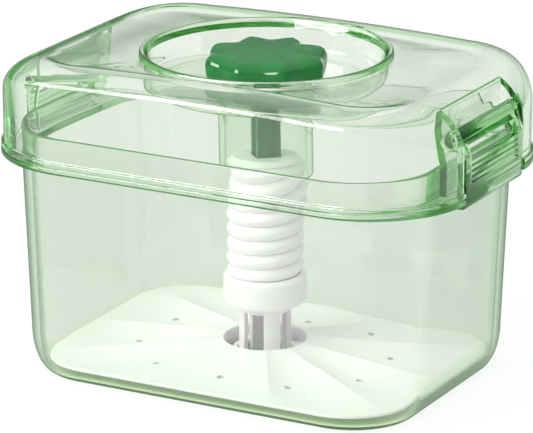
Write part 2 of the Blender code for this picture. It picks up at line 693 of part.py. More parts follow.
def make_spindle(material):
    """Hollow threaded spindle, closed by a cap with a square hole, its lower spigot inside the end cap."""
    chamfer = THREAD_CREST - SPINDLE_TOP_RADIUS
    wide = THREAD_CREST + chamfer
    spindle = turned_solid("spindle", [(wide, COLLAR_TOP + SEAT_GAP), (wide, SPINDLE_TOP - chamfer * 2),
                                       (SPINDLE_TOP_RADIUS, SPINDLE_TOP)], material)
    combine(spindle, 'INTERSECT', make_thread())
    spigot = turned_solid("spigot", [(SPIGOT_RADIUS, SPIGOT_BOTTOM), (SPIGOT_RADIUS, COLLAR_TOP + PITCH)])
    combine(spindle, 'UNION', spigot)
    bore = turned_solid("spindle_bore", [(SPINDLE_BORE, SPIGOT_BOTTOM - OVERRUN),
                                         (SPINDLE_BORE, SPINDLE_TOP - SPINDLE_CAP)])
    combine(spindle, 'DIFFERENCE', bore)
    half_diagonal = (SHAFT_SIDE + RUN_GAP * 2) / math.sqrt(2)
    hole = loft("square_hole", [circle(half_diagonal, SPINDLE_TOP - SPINDLE_CAP - OVERRUN, SQUARE_SIDES),
                                circle(half_diagonal, SPINDLE_TOP + OVERRUN, SQUARE_SIDES)])
    combine(spindle, 'DIFFERENCE', hole)
    return spindle


def make_collar(material):
    """End cap on the spindle's spigot. Its step keeps the plunger's flange in."""
    step_top = SPIGOT_BOTTOM - SEAT_GAP
    throat = PLUNGER_RADIUS + RUN_GAP
    seat = SPIGOT_RADIUS + SEAT_GAP
    return turned("spindle_collar", [
        (throat, COLLAR_BOTTOM), (COLLAR_RADIUS - COLLAR_CHAMFER / 2, COLLAR_BOTTOM),
        (COLLAR_RADIUS, COLLAR_BOTTOM + COLLAR_CHAMFER), (COLLAR_RADIUS, COLLAR_TOP - COLLAR_CHAMFER),
        (COLLAR_RADIUS - COLLAR_CHAMFER, COLLAR_TOP), (seat, COLLAR_TOP), (seat, step_top), (throat, step_top)],
        material)


# Plunger and its spring

def make_plunger(material):
    """Hollow sleeve with a retaining flange, and legs whose feet hook under the press plate's ring."""
    flange_low = SPIGOT_BOTTOM
    flange_high = flange_low + PLUNGER_FLANGE_THICKNESS
    plunger = turned("plunger", [
        (PLUNGER_BORE, SLEEVE_BOTTOM), (PLUNGER_RADIUS, SLEEVE_BOTTOM), (PLUNGER_RADIUS, flange_low),
        (PLUNGER_FLANGE_RADIUS, flange_low), (PLUNGER_FLANGE_RADIUS, flange_high),
        (PLUNGER_RADIUS, flange_high), (PLUNGER_RADIUS, PLUNGER_TOP), (PLUNGER_BORE, PLUNGER_TOP)], material)
    inner = PLUNGER_RADIUS - LEG_THICKNESS
    foot_top = LEG_BOTTOM + FOOT_THICKNESS
    for index in range(LEG_COUNT):
        angle = math.tau * (index + 0.5) / LEG_COUNT
        spread = math.asin(LEG_WIDTH / 2 / PLUNGER_RADIUS)
        levels = []
        for height, outer in ((LEG_BOTTOM, FOOT_RADIUS), (foot_top, FOOT_RADIUS), (foot_top, PLUNGER_RADIUS),
                              (SLEEVE_BOTTOM + OVERRUN / 2, PLUNGER_RADIUS)):
            arc = [angle + spread * share for share in (-1, -0.5, 0, 0.5, 1)]
            level = [Vector((outer * math.cos(a), outer * math.sin(a), height)) for a in arc]
            level += [Vector((inner * math.cos(a), inner * math.sin(a), height)) for a in reversed(arc)]
            levels.append(level)
        combine(plunger, 'UNION', loft(f"leg_{index + 1}", levels))
    return plunger


def make_spring(material):
    """Compression spring round the shaft, from the plunger's top to under the spindle's cap."""
    low = PLUNGER_TOP + SEAT_GAP + SPRING_WIRE
    high = SPINDLE_TOP - SPINDLE_CAP - SEAT_GAP - SPRING_WIRE
    total = SPRING_TURNS + SPRING_END_TURNS * 2
    closed_rise = SPRING_WIRE * 2 + SPRING_END_GAP
    end_rise = closed_rise * SPRING_END_TURNS
    points = []
    for step in range(round(total * SPRING_STEPS) + 1):
        turn = step / SPRING_STEPS
        if turn < SPRING_END_TURNS:
            height = low + closed_rise * turn
        elif turn > total - SPRING_END_TURNS:
            height = high - closed_rise * (total - turn)
        else:
            share = (turn - SPRING_END_TURNS) / SPRING_TURNS
            height = low + end_rise + (high - low - end_rise * 2) * share
        angle = math.tau * turn
        points.append((SPRING_RADIUS * math.cos(angle), SPRING_RADIUS * math.sin(angle), height, 1))
    curve = bpy.data.curves.new("plunger_spring", 'CURVE')
    curve.dimensions = '3D'
    curve.bevel_depth = SPRING_WIRE
    curve.bevel_resolution = 1
    curve.render_resolution_u = 0
    curve.use_fill_caps = True
    spline = curve.splines.new('POLY')
    spline.points.add(len(points) - 1)
    for place, point in zip(spline.points, points):
        place.co = point
    spline.use_smooth = True
    curve.materials.append(material)
    spring = bpy.data.objects.new("plunger_spring", curve)
    bpy.context.scene.collection.objects.link(spring)
    return spring


# Press plate

def plate_reach(angle, half_x, half_y, corner):
    """Distance from the middle of a rounded rectangle to its edge, at an angle."""
    along_x = abs(math.cos(angle))
    along_y = abs(math.sin(angle))
    reach = min(half_x / max(along_x, 1e-9), half_y / max(along_y, 1e-9))
    centre = Vector((half_x - corner, half_y - corner))
    edge = Vector((along_x, along_y)) * reach
    if edge.x > centre.x and edge.y > centre.y:
        along = centre.x * along_x + centre.y * along_y
        reach = along + math.sqrt(along * along - centre.length_squared + corner * corner)
    return reach


def plate_angles():
    """Directions of the plate's mesh, with the share of the way across its sector between two ridges."""
    angles = []
    for start, end in zip(RIDGE_DEGREES, RIDGE_DEGREES[1:] + (360,)):
        steps = SECTOR_STEPS * round((end - start) / SECTOR_DEGREES)
        for step in range(steps):
            angles.append((math.radians(start + (end - start) * step / steps), step / steps))
    return angles


def make_press_plate(material):
    """Fluted plate, highest round its hub, with drain holes and a ring for the plunger's feet."""
    bottom = FLOOR_THICKNESS + SEAT_GAP
    places = plate_angles()

    def level(share, drop):
        points = []
        for angle, across in places:
            reach = plate_reach(angle, PLATE_HALF_X, PLATE_HALF_Y, PLATE_CORNER)
            radius = HUB_HOLE_RADIUS + (reach - HUB_HOLE_RADIUS) * share
            flute = FLUTE_DEPTH * math.sin(math.pi * across) * math.sin(math.pi * share)
            height = HUB_TOP + (PLATE_RIM_TOP - HUB_TOP) * share - flute
            height = max(height - drop, bottom)
            points.append(Vector((radius * math.cos(angle), radius * math.sin(angle), height)))
        return points

    def edge_level(inset, height):
        points = []
        for angle, across in places:
            reach = plate_reach(angle, PLATE_HALF_X - inset, PLATE_HALF_Y - inset, PLATE_CORNER - inset)
            points.append(Vector((reach * math.cos(angle), reach * math.sin(angle), height)))
        return points

    def hub_level(radius, height):
        return [Vector((radius * math.cos(angle), radius * math.sin(angle), height))
                for angle, across in places]

    ring_bottom = LEG_BOTTOM + FOOT_THICKNESS + SEAT_GAP
    levels = [level(share, 0) for share in PLATE_LEVEL_SHARES]
    levels.append(edge_level(0, bottom + PLATE_EDGE_ROUND))
    levels.append(edge_level(PLATE_EDGE_ROUND, bottom))
    levels.append(edge_level(PLATE_EDGE_ROUND * 3, bottom))
    levels += [level(share, PLATE_THICKNESS) for share in reversed(PLATE_LEVEL_SHARES[1:-1])]
    levels.append(hub_level(HUB_HOLE_RADIUS + HUB_WALL, HUB_TOP - PLATE_THICKNESS))
    levels.append(hub_level(HUB_HOLE_RADIUS + HUB_WALL, ring_bottom))
    levels.append(hub_level(HUB_HOLE_RADIUS, ring_bottom))
    plate = loft("press_plate", levels, material, capped=False)
    ring_top = ring_bottom + HUB_RING_THICKNESS
    bore = PLUNGER_RADIUS + RUN_GAP
    hub_ring = turned("hub_ring", [(bore, ring_bottom), (bore + HUB_RING_WALL, ring_bottom),
                                   (bore + HUB_RING_WALL, ring_top), (bore, ring_top)])
    combine(plate, 'UNION', hub_ring)
    for index in range(LEG_COUNT):
        angle = math.tau * (index + 0.5) / LEG_COUNT
        inner = (bore + HUB_RING_WALL / 2, -SPOKE_WIDTH / 2, ring_bottom + SEAT_GAP)
        outer = (HUB_HOLE_RADIUS + HUB_WALL / 2, SPOKE_WIDTH / 2, ring_top - SEAT_GAP)
        spoke = block(f"spoke_{index + 1}", inner, outer)
        spoke.rotation_euler.z = angle
        combine(plate, 'UNION', spoke)
    quarter = [(PLATE_HALF_X * share_x, PLATE_HALF_Y * share_y)
               for share_x, share_y in zip(DRAIN_X_SHARES, DRAIN_Y_SHARES)]
    for number, (x, y) in enumerate(sorted({(sign_x * x, sign_y * y) for x, y in quarter
                                            for sign_x in (1, -1) for sign_y in (1, -1)})):
        drain = turned_solid(f"drain_{number + 1}", [(DRAIN_RADIUS, bottom - OVERRUN),
                                                     (DRAIN_RADIUS, HUB_TOP + OVERRUN)], steps=DRAIN_STEPS)
        drain.location = (x, y, 0)
        combine(plate, 'DIFFERENCE', drain)
    return plate


def main():
    for obj in list(bpy.data.objects):
        bpy.data.objects.remove(obj, do_unlink=True)
    clear_green = plastic("clear_green", (0.55, 0.85, 0.6), 0.05, 0.35)
    knob_green = plastic("knob_green", (0.02, 0.27, 0.08), 0.2)
    white = plastic("white", (0.92, 0.94, 0.92), 0.35)
    steel = spring_steel("steel")
    make_container(clear_green)
    make_lid(clear_green)
    make_lever("lock_lever_right", 1, clear_green)
    make_lever("lock_lever_left", -1, clear_green)
    knob = make_knob(knob_green)
    spindle = make_spindle(white)
    spindle.parent = knob
    make_collar(white).parent = spindle
    make_spring(steel).parent = spindle
    plunger = make_plunger(white)
    plunger.parent = spindle
    make_press_plate(white).parent = plunger


main()
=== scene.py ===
# %% [markdown]
# # A pickle press in clear green plastic
# This lesson dresses a working CAD model of a small kitchen press. The CAD knows the sizes and the
# joints. Here the plain solids get their finished looks: polished clear walls, a glossy knob and satin
# white working parts. The frame is loaded first.

# %% Load the frame
import math

import bmesh
import bpy
import numpy as np
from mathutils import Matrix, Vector


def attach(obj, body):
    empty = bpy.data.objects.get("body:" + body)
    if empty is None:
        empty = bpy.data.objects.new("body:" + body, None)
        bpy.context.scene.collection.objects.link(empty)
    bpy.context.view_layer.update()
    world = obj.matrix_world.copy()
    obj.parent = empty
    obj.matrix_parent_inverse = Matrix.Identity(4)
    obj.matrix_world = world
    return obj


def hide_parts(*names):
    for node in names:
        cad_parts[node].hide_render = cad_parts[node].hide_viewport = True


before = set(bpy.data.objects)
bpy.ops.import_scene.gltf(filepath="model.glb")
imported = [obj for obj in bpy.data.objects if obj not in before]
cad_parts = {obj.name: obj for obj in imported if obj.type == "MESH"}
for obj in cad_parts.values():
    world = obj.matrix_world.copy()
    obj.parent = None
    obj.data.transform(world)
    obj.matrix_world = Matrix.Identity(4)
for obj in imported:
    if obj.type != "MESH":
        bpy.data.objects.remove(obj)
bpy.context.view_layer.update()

# %% [markdown]
# ## Camera
# A product photo like this is taken from far away with a long lens, so that near and far edges stay
# almost parallel. The camera stands 1.6 m from the press, a little to the right of its long side and
# looking down by 17.5 degrees.

# %% Camera
CAMERA_AZIMUTH = math.radians(28.39)
CAMERA_ELEVATION = math.radians(17.55)
CAMERA_DISTANCE = 1.589
CAMERA_TARGET = Vector((0, 0, 0.0617))
CAMERA_LENS = 270.2


def add_camera():
    """A long lens aimed at the middle of the press."""
    data = bpy.data.cameras.new("product_camera")
    data.lens = CAMERA_LENS
    camera = bpy.data.objects.new("product_camera", data)
    bpy.context.scene.collection.objects.link(camera)
    back = Vector((math.sin(CAMERA_AZIMUTH) * math.cos(CAMERA_ELEVATION),
                   -math.cos(CAMERA_AZIMUTH) * math.cos(CAMERA_ELEVATION), math.sin(CAMERA_ELEVATION)))
    camera.location = CAMERA_TARGET + back * CAMERA_DISTANCE
    camera.rotation_euler = (-back).to_track_quat('-Z', 'Y').to_euler()
    bpy.context.scene.camera = camera
    return camera


camera = add_camera()
print("camera at", [round(value, 3) for value in camera.location])

# %% [markdown]
# ## Helpers that skin a shape
# Every moulded piece here is a stack of level outlines: rounded rectangles for the box and its lid,
# circles for the turned parts. `loft` joins the levels with quads. `soften` rounds the corners of a
# profile before it is skinned, as no moulded edge is ever sharp, and on clear plastic it's these small
# rounds that catch the light.

# %% Mesh helpers
SMOOTH_ANGLE = math.radians(28)
BEVEL_ANGLE = math.radians(42)
BEVEL_SEGMENTS = 2
CORNER_STEPS = 26
LONG_STEPS = 30
SHORT_STEPS = 12
ROUND_STEPS = 128
SOFT_STEPS = 4
SIDE_PER_ROUND = 2.1


def add_piece(name, bm):
    """Turn a bmesh into a smooth object with outward faces."""
    bmesh.ops.recalc_face_normals(bm, faces=bm.faces)
    mesh = bpy.data.meshes.new(name)
    bm.to_mesh(mesh)
    bm.free()
    mesh.shade_smooth()
    mesh.set_sharp_from_angle(angle=SMOOTH_ANGLE)
    obj = bpy.data.objects.new(name, mesh)
    bpy.context.scene.collection.objects.link(obj)
    return obj


def loft(name, levels, capped=True):
    """Skin a stack of levels. Without caps, the last level joins the first."""
    bm = bmesh.new()
    loops = [[bm.verts.new(point) for point in level] for level in levels]
    pairs = list(zip(loops, loops[1:]))
    if not capped:
        pairs.append((loops[-1], loops[0]))
    for low, high in pairs:
        for i in range(len(low)):
            j = (i + 1) % len(low)
            bm.faces.new((low[i], low[j], high[j], high[i]))
    if capped:
        bm.faces.new(loops[0][::-1])
        bm.faces.new(loops[-1])
    return add_piece(name, bm)


def soften(profile, radius, closed=False, steps=SOFT_STEPS):
    """Round each corner of a profile. A row starts with the width and ends with the height."""
    rows = [np.array(row, float) for row in profile]
    out = []
    for index, row in enumerate(rows):
        if not closed and index in (0, len(rows) - 1):
            out.append(row)
            continue
        before = rows[index - 1] - row
        after = rows[(index + 1) % len(rows)] - row
        before_length = math.hypot(before[0], before[-1])
        after_length = math.hypot(after[0], after[-1])
        reach_before = min(radius, before_length / SIDE_PER_ROUND)
        reach_after = min(radius, after_length / SIDE_PER_ROUND)
        start = row + before / before_length * reach_before
        end = row + after / after_length * reach_after
        for step in range(steps + 1):
            t = step / steps
            out.append(start * (1 - t) ** 2 + row * 2 * t * (1 - t) + end * t ** 2)
    return out


def outline(half_x, half_y, corner):
    """Points and outward normals of a rounded rectangle, anticlockwise."""
    places = []
    signs = ((1, 1), (-1, 1), (-1, -1), (1, -1))
    for index, (sign_x, sign_y) in enumerate(signs):
        centre = Vector((sign_x * (half_x - corner), sign_y * (half_y - corner)))
        for step in range(CORNER_STEPS + 1):
            angle = math.pi / 2 * (index + step / CORNER_STEPS)
            normal = Vector((math.cos(angle), math.sin(angle)))
            places.append((centre + normal * corner, normal))
        next_x, next_y = signs[(index + 1) % 4]
        end = Vector((next_x * (half_x - corner), next_y * (half_y - corner))) + normal * corner
        start = centre + normal * corner
        steps = LONG_STEPS if index % 2 == 0 else SHORT_STEPS
        for step in range(1, steps):
            places.append((start.lerp(end, step / steps), normal))
    return places


def ring(sizes, height):
    """One level of a rounded rectangle from its half sizes and corner radius."""
    return [Vector((*point, height)) for point, normal in outline(*sizes)]


def round_points(angles, radius, height):
    """Points at one radius and height."""
    return [Vector((radius * math.cos(angle), radius * math.sin(angle), height)) for angle in angles]


def circle(radius, height, steps=ROUND_STEPS):
    """One level of a round shape."""
    return round_points([math.tau / steps * i for i in range(steps)], radius, height)


def turned(name, profile, capped=False, steps=ROUND_STEPS):
    """A body turned about Z from (radius, height) pairs."""
    return loft(name, [circle(radius, height, steps) for radius, height in profile], capped)


def prism(name, points, low, high):
    """An outline in XZ pulled from one Y to another."""
    return loft(name, [[Vector((x, y, z)) for x, z in points] for y in (low, high)])


def block(name, low, high):
    """A box between two corners, used as a cutter or a rib."""
    points = ((low[0], low[2]), (high[0], low[2]), (high[0], high[2]), (low[0], high[2]))
    return prism(name, points, low[1], high[1])


def end_block(name, sign, near, far, half_y, low, high):
    """A box across the right end, or across the left one with the sign -1."""
    start, end = sorted((sign * near, sign * far))
    return block(name, (start, -half_y, low), (end, half_y, high))


def combine(target, operation, tool):
    """Cut or join a helper body into a piece, then drop the helper."""
    modifier = target.modifiers.new("combine", 'BOOLEAN')
    modifier.operation = operation
    modifier.solver = 'EXACT'
    modifier.object = tool
    bake_modifiers(target)
    bpy.data.objects.remove(tool)


def cut(target, tool):
    """Cut a helper body out of a piece."""
    combine(target, 'DIFFERENCE', tool)


def join(target, tool):
    """Join a helper body to a piece."""
    combine(target, 'UNION', tool)


def bevel(obj, width):
    """Break the edges that cutting left sharp."""
    modifier = obj.modifiers.new("broken_edges", 'BEVEL')
    modifier.width = width
    modifier.segments = BEVEL_SEGMENTS
    modifier.limit_method = 'ANGLE'
    modifier.angle_limit = BEVEL_ANGLE
    bake_modifiers(obj)


def bake_modifiers(obj):
    """Apply every modifier on a piece."""
    graph = bpy.context.evaluated_depsgraph_get()
    mesh = bpy.data.meshes.new_from_object(obj.evaluated_get(graph))
    obj.modifiers.clear()
    obj.data = mesh
    mesh.shade_smooth()
    mesh.set_sharp_from_angle(angle=SMOOTH_ANGLE)


def quarter(steps):
    """Angles of a quarter round, from 0 to 90 degrees."""
    return [math.pi / 2 * step / steps for step in range(steps + 1)]


def quarter_round(steps):
    """A quarter round as pairs of 1 - cosine and sine, which both go from 0 to 1."""
    return [(1 - math.cos(angle), math.sin(angle)) for angle in quarter(steps)]


def mirrored(points, sign):
    """Points of a section in XZ for the right end, or for the left one with the sign -1."""
    return [(sign * row[0], row[1]) for row in points]


def keep(piece, node, body, material):
    """Give a piece its finish and let it stand for a CAD node."""
    piece.data.materials.clear()
    piece.data.materials.append(material)
    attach(piece, body)
    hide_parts(node)
    print(piece.name, "has", len(piece.data.polygons), "faces")


# %% [markdown]
# ## Effects that several finishes share
# A moulded surface is never perfectly even. `moulded_skin` is a node group with a slow ripple, left by
# the cooling plastic, and a fine grain. Each material places it with its own scale and strength. It puts
# out a height for a Bump node and a roughness that drifts a little. `handling` gives thin random scuffs,
# as a box in use would have.

# %% Shared node groups
SKIN_INPUTS = {"Ripple Scale": 30, "Grain Scale": 900, "Grain Share": 0.1, "Roughness": 0.1, "Drift": 0.03}
SCUFF_STRETCH = (1, 1, 6)
SCUFF_TURN = (0.4, 0.9, 0.3)
SCUFF_RANGE = (0.56, 0.7)


def new_group(name, inputs, outputs):
    """An empty shader group with named sockets."""
    group = bpy.data.node_groups.new(name, 'ShaderNodeTree')
    for socket, value in inputs.items():
        made = group.interface.new_socket(socket, in_out='INPUT', socket_type='NodeSocketFloat')
        made.default_value = value
    for socket in outputs:
        group.interface.new_socket(socket, in_out='OUTPUT', socket_type='NodeSocketFloat')
    return group, group.nodes.new('NodeGroupInput'), group.nodes.new('NodeGroupOutput')


def set_inputs(node, values):
    """Set inputs of a node by name."""
    for name, value in values.items():
        node.inputs[name].default_value = value


def add_node(nodes, kind, values):
    """One node with some of its inputs set by name."""
    node = nodes.new(kind)
    set_inputs(node, values)
    return node


def mix_shaders(nodes, links, share, first, second):
    """The shader that goes from the first to the second by a share."""
    mix = nodes.new('ShaderNodeMixShader')
    for index, socket in enumerate((share, first, second)):
        links.new(socket, mix.inputs[index])
    return mix.outputs[0]


def math_node(nodes, links, operation, first, second, third=None):
    """One Math node whose inputs are sockets or numbers."""
    node = nodes.new('ShaderNodeMath')
    node.operation = operation
    for index, value in enumerate((first, second, third)):
        if value is None:
            continue
        if isinstance(value, (int, float)):
            node.inputs[index].default_value = value
        else:
            links.new(value, node.inputs[index])
    return node.outputs[0]


def largest(nodes, links, *sockets):
    """The largest of several values. Of values that are 0 or 1, it tells whether any is 1."""
    value = sockets[0]
    for socket in sockets[1:]:
        value = math_node(nodes, links, 'MAXIMUM', value, socket)
    return value


def build_moulded_skin():
    """Ripple, grain and drifting roughness of moulded plastic."""
    group, start, end = new_group("moulded_skin", SKIN_INPUTS, ("Height", "Roughness"))
    nodes, links = group.nodes, group.links
    place = nodes.new('ShaderNodeTexCoord')
    ripple = add_node(nodes, 'ShaderNodeTexNoise', {"Detail": 1})
    grain = add_node(nodes, 'ShaderNodeTexNoise', {"Detail": 2})
    for noise, scale in ((ripple, "Ripple Scale"), (grain, "Grain Scale")):
        links.new(place.outputs["Object"], noise.inputs["Vector"])
        links.new(start.outputs[scale], noise.inputs["Scale"])
    fine = math_node(nodes, links, 'MULTIPLY', grain.outputs[0], start.outputs["Grain Share"])
    links.new(math_node(nodes, links, 'ADD', ripple.outputs[0], fine), end.inputs["Height"])
    centred = math_node(nodes, links, 'SUBTRACT', ripple.outputs[0], 0.5)
    rough = math_node(nodes, links, 'MULTIPLY_ADD', centred, start.outputs["Drift"],
                      start.outputs["Roughness"])
    links.new(rough, end.inputs["Roughness"])
    return group


def build_handling():
    """Thin scuffs from use, as a mask."""
    group, start, end = new_group("handling", {"Scale": 60, "Amount": 0.3}, ("Scuffs",))
    nodes, links = group.nodes, group.links
    place = nodes.new('ShaderNodeTexCoord')
    stretch = add_node(nodes, 'ShaderNodeMapping', {"Scale": SCUFF_STRETCH, "Rotation": SCUFF_TURN})
    links.new(place.outputs["Object"], stretch.inputs["Vector"])
    noise = add_node(nodes, 'ShaderNodeTexNoise', {"Detail": 5, "Roughness": 0.7})
    links.new(stretch.outputs[0], noise.inputs["Vector"])
    links.new(start.outputs["Scale"], noise.inputs["Scale"])
    picked = add_node(nodes, 'ShaderNodeMapRange', {"From Min": SCUFF_RANGE[0], "From Max": SCUFF_RANGE[1]})
    links.new(noise.outputs[0], picked.inputs["Value"])
    scuffs = math_node(nodes, links, 'MULTIPLY', picked.outputs[0], start.outputs["Amount"])
    links.new(scuffs, end.inputs["Scuffs"])
    return group


moulded_skin = build_moulded_skin()
handling = build_handling()
print("groups:", [group.name for group in bpy.data.node_groups])

# %% [markdown]
# ## Materials
# The clear walls are a Principled BSDF with full transmission. Their green comes from Volume Absorption
# inside, so it depends on how far light travels: a 2 mm wall looks almost grey, and an edge seen along
# its length is deep green. Light also runs along inside such a wall and comes out green at its edges.
# Layer Weight paints that in as shade: where the surface turns away, it mixes in a painted deep green
# edge shade and then a painted dark green rim. The foot of the box gets a warmer, painted olive shade by
# its height, for light that has run through its thick floor. Container, lid and levers differ in depth
# of colour and in where the painted edge shade and rim start, so one function makes three finishes. Matt
# and shadow rays pass the clear walls by a Transparent shader, so that the white parts inside are lit
# evenly. A ray that is still inside after many bounces goes straight on too, or thick corners would turn
# black. The satin white lets a little light soak in, and its slight magenta offsets the green of the
# walls in front of it.

# %% Materials


def new_material(name):
    """A material with its Principled BSDF, its output, nodes and links."""
    material = bpy.data.materials.new(name)
    material.use_nodes = True
    tree = material.node_tree
    return material, tree.nodes["Principled BSDF"], tree.nodes["Material Output"], tree.nodes, tree.links


def add_skin(nodes, links, shader, surface, strength, distance, scuffs):
    """Wire the moulded skin and the scuffs to a shader. The surface has a number for each of SKIN_INPUTS."""
    skin = nodes.new('ShaderNodeGroup')
    skin.node_tree = moulded_skin
    set_inputs(skin, dict(zip(SKIN_INPUTS, surface)))
    bump = add_node(nodes, 'ShaderNodeBump', {"Strength": strength, "Distance": distance})
    links.new(skin.outputs["Height"], bump.inputs["Height"])
    links.new(bump.outputs[0], shader.inputs["Normal"])
    scuff = nodes.new('ShaderNodeGroup')
    scuff.node_tree = handling
    scuff.inputs["Amount"].default_value = scuffs
    rough = math_node(nodes, links, 'ADD', skin.outputs["Roughness"], scuff.outputs["Scuffs"])
    links.new(rough, shader.inputs["Roughness"])


CLEAR_PASSED = (0.17, 0.69, 0.08, 1)
CONTAINER_DENSITY = 57.0
LID_DENSITY = 47.0
LEVER_DENSITY = 125.0
CONTAINER_FACE_TINT = (0.945, 0.915, 0.945, 1)
LID_FACE_TINT = (0.99, 0.975, 0.985, 1)
LEVER_FACE_TINT = (0.955, 0.985, 0.955, 1)
# Painted edge shade: a deep green mixed into the base colour where the surface turns away.
CLEAR_EDGE_TINT = (0.085, 0.42, 0.115, 1)
# Painted foot shade: an olive colour low on the box, for light that has run through its thick floor.
CLEAR_FOOT_TINT = (0.84, 0.9, 0.7, 1)
FOOT_TINT_HEIGHTS = (0.003, 0.0075)
# Painted rim shade: a dark green that the silhouette passes straight through.
RIM_GREEN = (0.08, 0.37, 0.095, 1)
RIM_SHARE = 0.95
TINT_POWER = 1.6
PLASTIC_IOR = 1.5
TRAPPED_DEPTH = 9
LAMP_PASSED = (0.98, 0.985, 0.98, 1)
KNOB_GREEN = (0.005, 0.142, 0.026, 1)
SATIN_WHITE = (0.955, 0.84, 0.96, 1)
SOAK = {"Subsurface Weight": 0.2, "Subsurface Radius": (0.6, 0.8, 0.6), "Subsurface Scale": 0.002}
WIRE_STEEL = (0.62, 0.63, 0.62, 1)


def make_clear_green(name, density, face_tint, tint_start, rim_start):
    """Clear tinted plastic that darkens with depth, with painted green shade where it turns away and at its
    foot.
    """
    material, shader, output, nodes, links = new_material(name)
    set_inputs(shader, {"Transmission Weight": 1.0, "IOR": PLASTIC_IOR})
    add_skin(nodes, links, shader, (22, 700, 0.01, 0.02, 0.03), strength=0.15, distance=0.0004, scuffs=0.03)
    # Painted edge shade: Layer Weight blends the base colour towards a deep green at grazing view.
    facing = nodes.new('ShaderNodeLayerWeight')
    grazing = add_node(nodes, 'ShaderNodeMapRange', {"From Min": tint_start})
    links.new(facing.outputs["Facing"], grazing.inputs["Value"])
    # Painted foot shade: below these heights the face colour turns olive, standing in for light in the
    # floor.
    place = nodes.new('ShaderNodeTexCoord')
    split = nodes.new('ShaderNodeSeparateXYZ')
    links.new(place.outputs["Object"], split.inputs[0])
    foot = add_node(nodes, 'ShaderNodeMapRange',
                    {"From Min": FOOT_TINT_HEIGHTS[0], "From Max": FOOT_TINT_HEIGHTS[1]})
    foot.interpolation_type = 'SMOOTHSTEP'
    links.new(split.outputs["Z"], foot.inputs["Value"])
    face, tint = nodes.new('ShaderNodeMix'), nodes.new('ShaderNodeMix')
    face.data_type = tint.data_type = 'RGBA'
    face.inputs["A"].default_value = CLEAR_FOOT_TINT
    face.inputs["B"].default_value = face_tint
    links.new(foot.outputs[0], face.inputs["Factor"])
    links.new(face.outputs["Result"], tint.inputs["A"])
    tint.inputs["B"].default_value = CLEAR_EDGE_TINT
    links.new(math_node(nodes, links, 'POWER', grazing.outputs[0], TINT_POWER), tint.inputs["Factor"])
    links.new(tint.outputs["Result"], shader.inputs["Base Color"])
    # Painted rim shade: near the silhouette a dark green Transparent shader darkens the surface.
    rim = add_node(nodes, 'ShaderNodeMapRange', {"From Min": rim_start, "To Max": RIM_SHARE})
    links.new(facing.outputs["Facing"], rim.inputs["Value"])
    rim_way = add_node(nodes, 'ShaderNodeBsdfTransparent', {"Color": RIM_GREEN})
    edged = mix_shaders(nodes, links, rim.outputs[0], shader.outputs[0], rim_way.outputs[0])
    lamp_way = add_node(nodes, 'ShaderNodeBsdfTransparent', {"Color": LAMP_PASSED})
    path = nodes.new('ShaderNodeLightPath')
    trapped = math_node(nodes, links, 'GREATER_THAN', path.outputs["Ray Depth"], TRAPPED_DEPTH)
    straight = largest(nodes, links, path.outputs["Is Shadow Ray"], path.outputs["Is Diffuse Ray"], trapped)
    mix = mix_shaders(nodes, links, straight, edged, lamp_way.outputs[0])
    links.new(mix, output.inputs["Surface"])
    depth = add_node(nodes, 'ShaderNodeVolumeAbsorption', {"Color": CLEAR_PASSED, "Density": density})
    links.new(depth.outputs[0], output.inputs["Volume"])
    return material


def make_solid(name, inputs, surface, strength, distance, scuffs):
    """A material that light doesn't pass: shader inputs, and the numbers for its skin."""
    material, shader, output, nodes, links = new_material(name)
    set_inputs(shader, inputs)
    add_skin(nodes, links, shader, surface, strength, distance, scuffs)
    return material


container_green = make_clear_green("container_clear_green", CONTAINER_DENSITY, CONTAINER_FACE_TINT,
                                   tint_start=0.44, rim_start=0.58)
lid_green = make_clear_green("lid_clear_green", LID_DENSITY, LID_FACE_TINT, tint_start=0.62, rim_start=0.74)
lever_green = make_clear_green("lever_clear_green", LEVER_DENSITY, LEVER_FACE_TINT,
                               tint_start=0.5, rim_start=0.72)
knob_green = make_solid("knob_green_plastic", {"Base Color": KNOB_GREEN, "IOR": PLASTIC_IOR},
                        (60, 1500, 0.05, 0.07, 0.05), strength=0.2, distance=0.0003, scuffs=0.08)
white = make_solid("white_plastic", {"Base Color": SATIN_WHITE, **SOAK},
                   (45, 1200, 0.25, 0.36, 0.08), strength=0.3, distance=0.0002, scuffs=0.12)
spring_steel = make_solid("spring_steel_wire", {"Base Color": WIRE_STEEL, "Metallic": 1.0},
                          (200, 4000, 0.6, 0.24, 0.15), strength=0.3, distance=0.0001, scuffs=0.3)
print("materials:", [material.name for material in bpy.data.materials])

# %% [markdown]
# ## Container
# The box is injection moulded, with walls that lean out so that it leaves its mould, a round foot all the
# way round and a flat flange for the lid. The wall goes on above the flange as a thinner rim inside the
# lid, which keeps brine in. One loft from the foot up, over the rim and down the inside gives a single
# watertight skin, which glass needs.

# %% Container
SEAT_GAP = 0.0003
RUN_GAP = 0.0004
OVERRUN = 0.004
EDGE_SOFT = 0.0005
BASE_SIZES = (0.0856, 0.062, 0.031)
BASE_FILLET_RUN = 0.0078
BASE_FILLET_RISE = 0.018
CONTAINER_WALL = 0.003
FLOOR_THICKNESS = 0.0025
FLOOR_FILLET_RUN = 0.0045
FLOOR_FILLET_RISE = 0.0155
RIM_SIZES = (0.089, 0.0637, 0.0325)
RIM_HEIGHT = 0.102
RIM_WALL = 0.0018
RIM_ROUND = 0.0008
RIM_STEPS = 8
FOOT_STEPS = 14
FLANGE_SIZES = (0.1, 0.067, 0.0415)
FLANGE_THICKNESS = 0.0023
FLANGE_TOP = 0.0907
FLANGE_BOTTOM = FLANGE_TOP - FLANGE_THICKNESS
RECESS_HALF_Y = 0.0262
LEVER_NOSE_X = 0.0968


